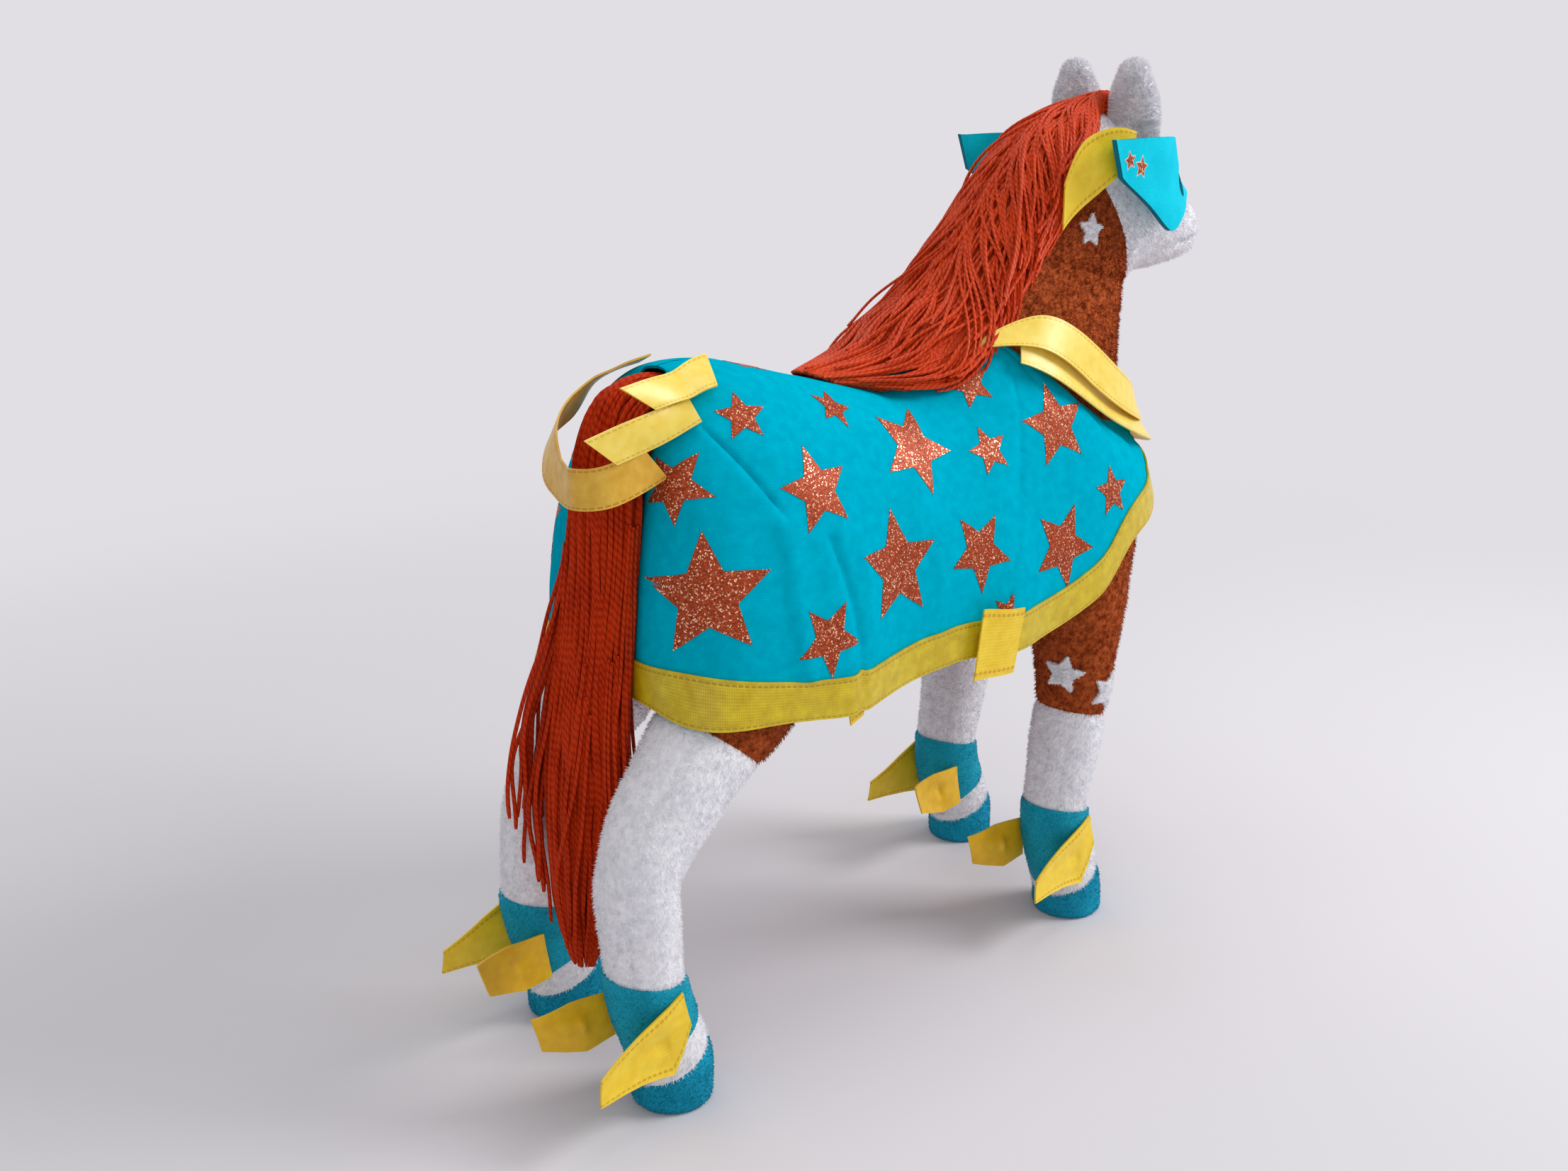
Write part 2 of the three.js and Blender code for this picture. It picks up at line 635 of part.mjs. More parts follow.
const rumpEdge = -106; // the seam lies on the coat forward of here, and stands over the tail's root behind
const blanketColumns = [
  [-121, 0.5, 288.5, -146, -13, 163, 1.8, 0.3],
  [-119.5, 0.5, 288.8, -151, -28, 165, 1.4, 0.62],
  [-117.5, 0.5, 289, -147, -46, 165, 1.1, 0.85],
  [-112, 0.5, 289.5, -132, -60, 161, 0.8, 0.9],
  [-98, 0.5, 288, -110, -65, 157, 0.7, 0.7],
  [-78, 0.5, 285, -80, -67, 155, 0.7, 0.7],
  [-50, 0.5, 277, -48, -65.5, 157, 0.7, 0.7],
  [-18, 0.5, 270, -14, -64.5, 160, 0.72, 0.72],
  [4, 0.5, 282, 18, -65, 158, 1, 1],
  [24, -17, 290, 52, -64, 162, 1.3, 1.3],
  [38, -29, 286, 80, -63, 172, 1.6, 1.6],
  [54, -38, 274, 104, -61, 190, 1.9, 1.9],
  [82, -44, 257, 128, -53, 198, 2, 2],
  [112, -42, 244, 148, -38, 205, 2, 2],
  [138, -27, 238, 159, -19, 211, 2, 2],
  [152, 0.5, 236, 163, 0.5, 214, 2, 2],
];
// Folds that stand out from the hem: [column, how far out, how wide in columns]
const folds = [
  [4.9, 3.5, 0.45],
  [6.2, -2.5, 0.6],
  [8.1, 2.5, 0.4],
  [10, 2, 0.5],
];

function blanketGrid(columns, rows) {
  return Array.from({ length: columns + 1 }, (_, i) => {
    const place = (i / columns) * (blanketColumns.length - 1);
    const [topX, topY, topZ, hemX, hemY, hemZ, ahead, aside] = between(blanketColumns, i / columns);
    const topPoint = vec(topX, topY, topZ);
    const top = clearOf(bodyBulk, topPoint, heartOf(topPoint), clothClearance, topX > rumpEdge);
    const hemAngle = Math.acos(ribbonWidth / (top.z - hemZ));
    const swell = ([at, out, width]) => out * Math.exp(-(((place - at) / width) ** 2));
    const fold = folds.reduce((sum, each) => sum + swell(each), 0);
    return Array.from({ length: rows + 1 }, (_, j) => {
      const angle = j === rows ? Math.PI / 2 : (hemAngle * j) / (rows - 1);
      const point = vec(
        THREE.MathUtils.lerp(top.x, hemX, Math.sin(angle) ** ahead),
        THREE.MathUtils.lerp(top.y, hemY, Math.sin(angle) ** aside),
        hemZ + (top.z - hemZ) * Math.cos(angle),
      );
      if (j === 0) return top;
      const away = outwardOf(point).setZ(0).normalize();
      point.addScaledVector(away, fold * (1 - Math.cos(angle)));
      return clearOf(bodyBulk, point, heartOf(point), clothClearance);
    });
  });
}

const blanketSurface = blanketGrid(30, 6);
const leftOfMiddle = beyond({ point: vec(0, midSeam, 0), normal: vec(0, 1, 0) });
const bodyCut = joined(torsoForm(seamGap), neckForm(seamGap), ...legForms.map((form) => form(seamGap)));
const blanketSheet = sheet(blanketSurface, clothThickness, outwardOf);
const blanketRight = cutAway(blanketSheet, bodyCut, leftOfMiddle);
const hemGrid = offsetGrid(blanketSurface, clothThickness + seamGap, outwardOf)
  .map((column) => column.slice(-2));
const hemRight = cutAway(sheet(hemGrid, ribbonThickness, outwardOf), leftOfMiddle);
add("blanket_right", blanketRight, finish.cloth);
add("blanket_left", mirrored(blanketRight), finish.cloth);
add("hem_right", hemRight, finish.ribbon);
add("hem_left", mirrored(hemRight), finish.ribbon);

// The straps of the blanket lie over it and over the coat

const cover = sheetBetween(
  offsetGrid(blanketSurface, -4, outwardOf),
  offsetGrid(blanketSurface, clothThickness, outwardOf),
);
const hemCover = sheetBetween(
  offsetGrid(hemGrid, -clothThickness, outwardOf),
  offsetGrid(hemGrid, ribbonThickness, outwardOf),
);
const rightCover = joined(cover, hemCover);
const coat = clothClearance + clothThickness;
const dressedBulk = asBody(joined(torsoForm(coat), neckForm(coat), rightCover, mirrored(rightCover)));
const strapLift = 2;
const layer = ribbonThickness + strapLift;

// A grid pushed out until it clears the dressed body by a lift. One that hugs is sewn down at both ends.
function laidOn(grid, lift, hug) {
  const sewnLift = 2 * seamGap;
  return grid.map((column, i) => {
    const fromEnd = Math.min(i, grid.length - 1 - i);
    const rise = hug ? THREE.MathUtils.smoothstep(fromEnd, 0, 3) : 1;
    const clearance = THREE.MathUtils.lerp(sewnLift, lift, rise);
    return column.map((p) => clearOf(dressedBulk, p, heartOf(p), clearance, hug));
  });
}

const chestStraps = {
  lower: [
    [46, -38, 279, 12],
    [68, -43, 268, 14],
    [94, -46, 254, 14],
    [122, -41, 240, 14],
    [145, -24, 231, 14],
    [155, 0, 228, 14],
  ],
  upper: [
    [22, -38, 298, 1],
    [50, -40, 289.5, 12],
    [70, -43, 279.5, 15],
    [98, -45, 261, 15],
    [125, -39, 249, 15],
    [145, -22, 241, 15],
    [153, 0, 238, 15],
  ],
};
const chestStrapGrids = {};
for (const [place, half] of Object.entries(chestStraps)) {
  const otherHalf = half.slice(0, -1).map(([x, y, z, width]) => [x, -y, z, width]);
  const grid = bandGrid([...half, ...otherHalf.reverse()], outwardOf, 36);
  chestStrapGrids[place] = laidOn(grid, place === "upper" ? strapLift + layer : strapLift + 0.4, true);
  add(`chest_strap_${place}`, sheet(chestStrapGrids[place], ribbonThickness, outwardOf), finish.ribbon);
}

// A ribbon from columns of [top x, top z, bottom x, bottom z], held at a distance from the middle plane.
function bolt(columns, y, rows, steps) {
  return Array.from({ length: steps + 1 }, (_, i) => {
    const [topX, topZ, bottomX, bottomZ] = between(columns, i / steps);
    return Array.from({ length: rows + 1 }, (_, j) => {
      const share = j / rows;
      return vec(THREE.MathUtils.lerp(topX, bottomX, share), y, THREE.MathUtils.lerp(topZ, bottomZ, share));
    });
  });
}

const bellyStrap = bolt([[17, 184.5, 13.5, 153.6], [-5, 184.4, -9.5, 152.9]], -67.5, 3, 3);
const bellyStrapRight = sheet(laidOn(bellyStrap, strapLift + 0.6), ribbonThickness, outwardOf);
add("belly_strap_right", bellyStrapRight, finish.ribbon);
add("belly_strap_left", mirrored(bellyStrapRight), finish.ribbon);
const bellyTab = [[-83, 171], [-71, 171], [-72, 151], [-79, 148]];
const bellyTabRight = plate(bellyTab, -66.6, ribbonThickness);
add("belly_tab_right", bellyTabRight, finish.ribbon);
add("belly_tab_left", mirrored(bellyTabRight), finish.ribbon);

// The strap that loops round the tail, and the two lengths of its end that are folded over it

const tailStrapPath = [
  [-113, 14, 287.5, ribbonWidth],
  [-124, 18, 283, ribbonWidth],
  [-134, 22, 279, ribbonWidth],
  [-147, 24.5, 271.5, ribbonWidth],
  [-157, 21, 265, ribbonWidth],
  [-165, 11, 256, ribbonWidth],
  [-170, -4, 251, ribbonWidth],
  [-172, -16, 251, ribbonWidth],
  [-164, -24.5, 252.5, ribbonWidth],
  [-143, -26.5, 257.3, ribbonWidth],
];
const roundTheTail = (p) => vec(Math.min(p.x + 145, 0), p.y, Math.max(0, p.y * 0.85));
const tailStrapGrid = laidOn(bandGrid(tailStrapPath, roundTheTail, 24), strapLift);
add("tail_strap_loop", sheet(tailStrapGrid, ribbonThickness, roundTheTail), finish.ribbon);

const strapFolds = {
  middle: [
    [-176, 272, -162, 261],
    [-160, 275, -152, 262.5],
    [-143, 278.5, -137, 266.5],
    [-128.6, 281, -121, 271],
  ],
  upper: [
    [-160.5, 289.4, -142.6, 280],
    [-146, 292, -133, 281.6],
    [-130, 293, -122, 282],
    [-118.7, 291, -114, 282],
  ],
};
Object.entries(strapFolds).forEach(([place, columns], order) => {
  const over = (ribbonThickness + seamGap) * order;
  const grid = laidOn(bolt(columns, -27.7 - over, 2, 9), strapLift + over);
  add(`tail_strap_${place}`, sheet(grid, ribbonThickness, (p) => vec(0, p.y, 0)), finish.ribbon);
});

// The tail: a round root in a socket of the rump, and a hanging bundle of yarn

const tailStations = [
  [-124, 280.5, -124, 263.5, 0, 8.5],
  [-134, 282, -131, 261, 0, 10],
  [-146, 277, -136, 256, 0, 12],
  [-155, 263, -139.5, 249, 0, 13.5],
  [-158.5, 242, -141, 236, 0, 15],
  [-162, 215, -144.5, 213, 0, 16],
  [-166, 185, -148, 185, 0, 16.5],
  [-171, 155, -150, 155, 0, 17],
  [-175, 125, -151, 125, 0, 19.5],
  [-176, 95, -153, 95, 0, 18.5],
  [-174, 66, -157, 66, 0, 13],
  [-171, 46, -162, 46, 0, 6],
];
const tailYarn = stuffed(tailStations, { rings: 17, sides: 12, lastDome: 0.8 });
const hangingTail = cutAway(tailYarn, torsoForm(clothClearance));
add("tail", joined(hangingTail, dockBall(0)), finish.yarn);

// The mane: yarn from between the ears down the crest to the withers, parted at the head joint

const maneStations = [
  [152, 391, 149, 373, 0, 3.6],
  [141, 391, 137, 370, 0, 4],
  [124, 386, 128, 364, 0, 13],
  [104, 380, 117, 352, 0, 19],
  [87, 370, 105, 340, 0, 22],
  [71, 355, 94, 326, 0, 23.5],
  [56, 338, 80, 312, 0, 24.5],
  [42, 322, 68, 298, 0, 27],
  [27, 308, 55, 281, 0, 31],
  [8, 297, 38, 266, 0, 34],
  [-12, 288, 15, 262, 0, 32],
  [-35, 280, -24, 264, 0, 23],
];
const maneForm = stuffed(maneStations, { rings: 18, sides: 12, firstDome: 0.8, lastDome: 0.5 });
// The space of a sheet and what lies under it to a depth, grown by the clearance of the yarn.
function spaceOf(grid, thickness, depth) {
  const pastEnd = (end, inner) => end.clone().sub(inner).setLength(yarnClearance).add(end);
  const taller = grid.map((column) => [
    pastEnd(column[0], column[1]),
    ...column,
    pastEnd(column.at(-1), column.at(-2)),
  ]);
  const rimmed = [
    taller[0].map((p, j) => pastEnd(p, taller[1][j])),
    ...taller,
    taller.at(-1).map((p, j) => pastEnd(p, taller.at(-2)[j])),
  ];
  return sheetBetween(
    offsetGrid(rimmed, -depth, outwardOf),
    offsetGrid(rimmed, thickness + yarnClearance, outwardOf),
  );
}
const maneCuts = [
  spaceOf(blanketSurface, clothThickness, 3),
  spaceOf(chestStrapGrids.upper, ribbonThickness, 4),
];
const mane = cutAway(
  maneForm,
  neckForm(yarnClearance),
  torsoForm(yarnClearance),
  ...maneCuts,
  ...maneCuts.map(mirrored),
);
add("mane_neck", before(mane, headJoint), finish.yarn);
add("mane_poll", past(mane, headJoint), finish.yarn);

// The foam mask, with a ribbon that comes out from under each side of it

const maskColumns = [
  [97, -45, 371, 103, -45, 354.5],
  [125, -42, 371, 128, -42, 341],
  [143, -38, 371, 149, -39.5, 328.5],
  [158, -31.5, 370, 163, -35, 333],
  [165, -25, 368, 176, -27, 339],
  [168.5, -13, 369, 185, -15, 345],
  [169.5, 0, 369.5, 189, 0, 350],
];
const headBulk = asBody(neckForm(0));
const faceHeart = vec(140, 0, 340);
const fromFace = (p) => p.clone().sub(faceHeart);

function maskGrid(steps, rows) {
  const otherHalf = maskColumns.slice(0, -1).map(([a, b, c, d, e, f]) => [a, -b, c, d, -e, f]);
  const columns = [...maskColumns, ...otherHalf.reverse()];
  return Array.from({ length: steps + 1 }, (_, i) => {
    const numbers = between(columns, i / steps);
    const top = vec(...numbers.slice(0, 3));
    const bottom = vec(...numbers.slice(3));
    return Array.from({ length: rows + 1 }, (_, j) => {
      const p = top.clone().lerp(bottom, j / rows);
      return clearOf(headBulk, p, faceHeart, clothClearance);
    });
  });
}

const eyeHole = (side) => {
  const [x, y, z] = eyePlace;
  const length = 30;
  const hole = new THREE.CylinderGeometry(eyeHoleRadius, eyeHoleRadius, length, 16);
  hole.translate(0, length / 2, 0);
  hole.rotateZ(THREE.MathUtils.degToRad(-eyeFacing));
  if (side.sign < 0) hole.rotateX(Math.PI);
  return hole.translate(x, y * side.sign, z + 1);
};
const maskSheet = sheet(maskGrid(24, 3), foamThickness, fromFace);
add("mask", cutAway(maskSheet, ...sides.map(eyeHole)), finish.foam);

const maskRibbons = {
  right: [
    [118, 374, 118, 359],
    [109, 376, 109, 354.5],
    [100, 374.5, 100, 347],
    [91, 368, 91, 339.5],
    [83, 352, 83, 332],
  ],
  left: [
    [120, 353, 127, 340],
    [113, 350, 120, 332],
    [107, 343, 113, 324],
    [103, 331, 106, 318],
  ],
};
const underMask = { right: 41.6, left: 40.9 }; // how far out each ribbon lies where the mask covers it
for (const side of sides) {
  const grid = bolt(maskRibbons[side.name], 0, 2, 8);
  const spread = (x) => THREE.MathUtils.smoothstep(x, 83, 118);
  for (const p of grid.flat()) p.y = side.sign * THREE.MathUtils.lerp(31, underMask[side.name], spread(p.x));
  add(`mask_ribbon_${side.name}`, sheet(grid, ribbonThickness, (p) => vec(0, p.y, 0)), finish.ribbon);
}

export default root;
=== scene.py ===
"""A plush horse in a show costume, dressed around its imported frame.

Shapes are worked out in millimetres and put into meshes in metres. +X is forward to the head, +Y is the
horse's left, +Z is up, and the floor is z = 0.
"""

import logging
import math
from collections.abc import Callable, Sequence
from dataclasses import dataclass, field, replace
from enum import Enum

import bpy
import numpy as np
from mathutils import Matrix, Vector


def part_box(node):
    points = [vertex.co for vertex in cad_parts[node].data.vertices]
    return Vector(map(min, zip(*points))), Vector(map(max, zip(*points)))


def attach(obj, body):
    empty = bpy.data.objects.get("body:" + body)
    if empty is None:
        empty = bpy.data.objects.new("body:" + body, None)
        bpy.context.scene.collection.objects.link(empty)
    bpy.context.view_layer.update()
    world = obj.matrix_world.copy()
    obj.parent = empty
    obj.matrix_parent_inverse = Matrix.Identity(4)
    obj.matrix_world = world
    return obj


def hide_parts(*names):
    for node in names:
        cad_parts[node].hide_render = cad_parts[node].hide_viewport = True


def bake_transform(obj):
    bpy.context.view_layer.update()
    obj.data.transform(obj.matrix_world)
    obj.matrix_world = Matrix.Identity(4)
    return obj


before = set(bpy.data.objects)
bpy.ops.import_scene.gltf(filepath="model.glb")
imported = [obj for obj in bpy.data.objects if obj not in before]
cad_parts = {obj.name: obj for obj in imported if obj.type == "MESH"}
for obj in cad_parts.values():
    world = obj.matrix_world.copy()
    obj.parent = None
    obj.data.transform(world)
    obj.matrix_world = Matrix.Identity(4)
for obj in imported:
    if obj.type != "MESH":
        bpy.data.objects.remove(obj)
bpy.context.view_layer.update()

log = logging.getLogger("plush_horse")

MM = 0.001
TURN = 2 * math.pi
SHARP_DEGREES = 50
HEART_BACK, HEART_FRONT, HEART_HEIGHT = -85, 88, 222
SHARE_STEP = 1e-3

Array = np.ndarray
Corner = tuple[float, float, float]
Colour = tuple[int, int, int]
Stations = Sequence[Sequence[float]]
Material = bpy.types.Material
Socket = bpy.types.NodeSocket

MIRROR = np.array([1, -1, 1])
LEFTWARD = np.array([0, 1, 0])
NO_LEAN = (0.0, 0.0, 0.0)
STUDIO_GREY = (0.94, 0.94, 0.96, 1)


class Side(Enum):
    """The two sides of the horse, each with the sign of its y."""

    RIGHT = -1
    LEFT = 1

    @property
    def word(self) -> str:
        """The side's name as it stands in node names."""
        return self.name.lower()

    @property
    def outward(self) -> Array:
        """The way out to this side."""
        return self.value * LEFTWARD

    def of(self, points: Array) -> Array:
        """Points of the right side as points of this side."""
        return points if self is Side.RIGHT else points * MIRROR


class Slot(Enum):
    """The record's material slots."""

    BAY = "bay"
    FLEECE = "fleece"
    FELT = "felt"
    CLOTH = "cloth"
    RIBBON = "ribbon"
    FOAM = "foam"
    YARN = "yarn"
    BEAD = "bead"


# Small helpers on whole arrays


def unit(vectors: Array) -> Array:
    """Vectors scaled to length one."""
    return vectors / np.maximum(np.linalg.norm(vectors, axis=-1, keepdims=True), 1e-9)


def smooth(value: Array, low: float, high: float) -> Array:
    """A smooth step from 0 at low to 1 at high."""
    t = np.clip((np.asarray(value, float) - low) / (high - low), 0, 1)
    return t * t * (3 - 2 * t)


def bell(value: Array, width: float) -> Array:
    """A bell curve: 1 at zero, and falling off over the width."""
    return np.exp(-((np.asarray(value) / width) ** 2))


def shares(along: tuple, across: tuple) -> list[Array]:
    """Two grids of evenly spaced shares; an argument is the first share, the last one and their number."""
    return np.meshgrid(np.linspace(*along), np.linspace(*across), indexing="ij")


def round_grid(low: float, high: float, rings: int, places: int) -> list[Array]:
    """Grids of a share along a form and of an angle all the way round it."""
    return np.meshgrid(np.linspace(low, high, rings), np.arange(places) * TURN / places, indexing="ij")


def cubic(before: Array, low: Array, high: Array, after: Array, t: Array) -> Array:
    """A cubic from low at t = 0 to high at t = 1; its slopes are half the steps on either side of its ends."""
    slope_in, slope_out = (high - before) / 2, (after - low) / 2
    bend = 2 * (low - high) + slope_in + slope_out
    lean = 3 * (high - low) - 2 * slope_in - slope_out
    return ((bend * t + lean) * t + slope_in) * t + low


def curve(rows: Array, share: Array) -> Array:
    """Values at shares 0 to 1 along a smooth cubic curve through every row.

    Args:
        rows: Values at evenly spaced shares, one row each.
        share: Where to read the curve, of any shape.

    Returns:
        An array of the share's shape with one row's numbers at each place.
    """
    rows = np.asarray(rows, float)
    place = np.clip(np.asarray(share, float), 0, 1) * (len(rows) - 1)
    low = np.minimum(place.astype(int), len(rows) - 2)
    near = [rows[np.clip(low + k, 0, len(rows) - 1)] for k in (-1, 0, 1, 2)]
    return cubic(*near, (place - low)[..., None])


def read_grid(control: Array, u: Array, v: Array) -> Array:
    """Points at shares u along and v across a coarse grid, along cubics both ways."""
    u, v = np.broadcast_arrays(np.asarray(u, float), np.asarray(v, float))
    rings, places = control.shape[:2]
    lines = curve(control.reshape(rings, -1), u).reshape(*u.shape, places, 3)
    place = np.clip(v, 0, 1) * (places - 1)
    low = np.minimum(place.astype(int), places - 2)
    near = [
        np.take_along_axis(lines, np.clip(low + k, 0, places - 1)[..., None, None], axis=-2)[..., 0, :]
        for k in (-1, 0, 1, 2)
    ]
    return cubic(*near, (place - low)[..., None])


def eased(values: Array, times: int) -> Array:
    """Rows that are drawn halfway to the mean of their neighbours, several times; the ends stay."""
    for _ in range(times):
        values = np.concatenate([values[:1], (values[:-2] + 2 * values[1:-1] + values[2:]) / 4, values[-1:]])
    return values


def ripple(points: Array, size: float, seed: int) -> Array:
    """Smooth random bumps between about -1 and 1: a sum of sine waves in random directions.

    Args:
        points: Places in millimetres.
        size: Width of a bump.
        seed: Picks the directions and phases.

    Returns:
        The height at each place.
    """
    rng = np.random.default_rng(seed)
    waves = unit(rng.normal(size=(9, 3))) * (TURN / (2 * size)) * rng.uniform(0.6, 1.5, (9, 1))
    return np.sin(points @ waves.T + rng.uniform(0, TURN, 9)).sum(-1) / 4.2


def grid_normals(points: Array, around: bool = False) -> Array:
    """Normals of a grid of points, from the cross product of its two directions."""
    if around:
        wide = np.concatenate([points[:, -1:], points, points[:, :1]], axis=1)
        across = np.gradient(wide, axis=1)[:, 1:-1]
    else:
        across = np.gradient(points, axis=1)
    return unit(np.cross(across, np.gradient(points, axis=0)))


def facing(normals: Array, outward: Array) -> Array:
    """Normals turned round as one, if need be, to the side that the outward vectors point to."""
    return normals * np.sign((normals * outward).sum(-1).mean() or 1.0)


def surface_normals(surface: Callable[[Array, Array], Array], u: Array, v: Array, outward: Array) -> Array:
    """Normals of a surface at shares u and v, each turned to the side of the outward vectors."""
    along = surface(u + SHARE_STEP, v) - surface(u - SHARE_STEP, v)
    across = surface(u, v + SHARE_STEP) - surface(u, v - SHARE_STEP)
    normals = unit(np.cross(along, across))
    return normals * np.sign((normals * outward).sum(-1, keepdims=True))


# Surfaces


@dataclass
class Shell:
    """Points and faces of a surface, in millimetres, with a flat map of each face corner."""

    points: Array
    quads: Array
    quad_map: Array
    tris: Array = field(default_factory=lambda: np.zeros((0, 3), int))
    tri_map: Array = field(default_factory=lambda: np.zeros((0, 3, 2)))
    finish: int = 0

    def faced_out(self) -> "Shell":
        """The same closed surface with its faces turned outwards if it encloses a negative volume."""
        volume = 0.0
        for faces in (self.quads[:, :3], self.quads[:, [0, 2, 3]], self.tris):
            a, b, c = (self.points[faces[:, k]] for k in range(3))
            volume += float((a * np.cross(b, c)).sum())
        if volume >= 0:
            return self
        return replace(
            self,
            quads=self.quads[:, ::-1],
            quad_map=self.quad_map[:, ::-1],
            tris=self.tris[:, ::-1],
            tri_map=self.tri_map[:, ::-1],
        )


def lengths_map(points: Array, around: bool) -> Array:
    """A flat map in millimetres: the mean length along the grid, and the length across it."""
    along = np.linalg.norm(np.diff(points, axis=0), axis=-1).mean(1)
    u = np.concatenate([[0], np.cumsum(along)])
    closed = np.concatenate([points, points[:, :1]], axis=1) if around else points
    across = np.linalg.norm(np.diff(closed, axis=1), axis=-1).mean(0)
    v = np.concatenate([[0], np.cumsum(across)])
    return np.stack(np.broadcast_arrays(u[:, None], v[None, :]), axis=-1)


def cells(grid: Array) -> Array:
    """The four corners of every cell of a grid, in order round the cell."""
    return np.stack([grid[:-1, :-1], grid[:-1, 1:], grid[1:, 1:], grid[1:, :-1]], axis=2)


def strand_cells(grids: Array) -> Array:
    """The four corners of every cell of each strand's grid, in order round the cell."""
    return np.stack([grids[:, :-1, :-1], grids[:, 1:, :-1], grids[:, 1:, 1:], grids[:, :-1, 1:]], axis=3)


def fan(ring: Array, middle: int) -> Array:
    """Triangles from a ring of point numbers to one middle point."""
    return np.stack([np.full(len(ring) - 1, middle), ring[1:], ring[:-1]], axis=1)


def grid_shell(points: Array, around: bool = False, closed: bool = False, looped: bool = False) -> Shell:
    """A surface over a grid of points, mapped by lengths in millimetres.

    Args:
        points: The grid, rings by places by three numbers.
        around: Whether each ring closes on itself.
        closed: Whether the first and last rings are filled to their middles.
        looped: Whether the last ring joins the first one.

    Returns:
        The surface, faced outwards when it is closed.
    """
    rings, places = points.shape[:2]
    flat = lengths_map(np.concatenate([points, points[:1]]) if looped else points, around)
    index = np.arange(rings * places).reshape(rings, places)
    if around:
        index = np.concatenate([index, index[:, :1]], axis=1)
    if looped:
        index = np.concatenate([index, index[:1]])
    shell = Shell(points.reshape(-1, 3), cells(index).reshape(-1, 4), cells(flat).reshape(-1, 4, 2))
    if looped:
        return shell.faced_out()
    if not closed:
        return shell
    first, last = rings * places, rings * places + 1
    tris = np.concatenate([fan(index[0], first), fan(index[-1], last)[:, [0, 2, 1]]])
    tri_map = np.repeat(flat[[0, -1], :1], len(index[0]) - 1, axis=1).reshape(-1, 1, 2).repeat(3, axis=1)
    points = np.concatenate([shell.points, points[[0, -1]].mean(1)])
    return Shell(points, shell.quads, shell.quad_map, tris, tri_map).faced_out()


def sheet_shell(inner: Array, thickness: float, outward: Array, flat: Array | None = None) -> Shell:
    """A closed sheet: a grid, the same grid moved out along its normals, and a rim between them.

    Args:
        inner: The grid of the side that lies on something.
        thickness: How thick the sheet is.
        outward: Vectors towards the outer side.
        flat: The flat map of the grid.

    Returns:
        The sheet.
    """
    rings, places = inner.shape[:2]
    flat = lengths_map(inner, False) if flat is None else flat
    outer = inner + facing(grid_normals(inner), outward) * thickness
    index = np.arange(rings * places).reshape(rings, places)
    top = index + rings * places
    flat_corners = cells(flat).reshape(-1, 4, 2)
    faces = [cells(index).reshape(-1, 4), cells(top).reshape(-1, 4)[:, ::-1]]
    maps = [flat_corners, flat_corners[:, ::-1]]
    for edge, order in ((np.s_[0, :], -1), (np.s_[-1, :], 1), (np.s_[:, 0], 1), (np.s_[:, -1], -1)):
        low, high, place = index[edge], top[edge], flat[edge]
        rim = np.stack([low[:-1], high[:-1], high[1:], low[1:]], axis=1)
        rim_map = np.stack([place[:-1], place[:-1], place[1:], place[1:]], axis=1)
        faces.append(rim[:, ::order])
        maps.append(rim_map[:, ::order])
    points = np.concatenate([inner.reshape(-1, 3), outer.reshape(-1, 3)])
    return Shell(points, np.concatenate(faces), np.concatenate(maps)).faced_out()


def tubes(paths: Array, radius: Array, sides: int = 6) -> Shell:
    """Round strands along many paths at once: a ring of points square to each path at each of its points.

    Args:
        paths: Strands by points by three numbers.
        radius: Radius at each point of each strand.
        sides: Points in a ring.

    Returns:
        All the strands as one surface with closed ends, mapped along and around.
    """
    strands, steps = paths.shape[:2]
    tangent = unit(np.gradient(paths, axis=1))
    guide = unit(np.array([0.35, 0.86, 0.37]))
    first = unit(np.cross(tangent, guide))
    second = np.cross(tangent, first)
    angle = np.arange(sides) * TURN / sides
    ring = np.cos(angle)[:, None] * first[:, :, None] + np.sin(angle)[:, None] * second[:, :, None]
    skin = paths[:, :, None] + ring * radius[:, :, None, None]
    points = np.concatenate([skin.reshape(-1, 3), paths[:, [0, -1]].reshape(-1, 3)])
    index = np.arange(strands * steps * sides).reshape(strands, steps, sides)
    index = np.concatenate([index, index[:, :, :1]], axis=2)
    along = np.cumsum(np.linalg.norm(np.diff(paths, axis=1, prepend=paths[:, :1]), axis=-1), axis=1)
    u = np.repeat(along[:, :, None], sides + 1, axis=2)
    v = np.broadcast_to(np.arange(sides + 1) / sides, u.shape)
    quads = strand_cells(index).reshape(-1, 4)
    quad_map = strand_cells(np.stack([u, v], axis=-1)).reshape(-1, 4, 2)
    ends = strands * steps * sides + np.arange(2 * strands).reshape(strands, 2)
    middles = np.broadcast_to(ends[:, :, None], (strands, 2, sides))
    rims = index[:, [0, -1]]
    tris = np.stack([middles, rims[:, :, :-1], rims[:, :, 1:]], axis=3)
    tris[:, 1] = tris[:, 1][..., [0, 2, 1]]
    tris = tris.reshape(-1, 3)
    return Shell(points, quads, quad_map, tris, np.zeros((len(tris), 3, 2)))


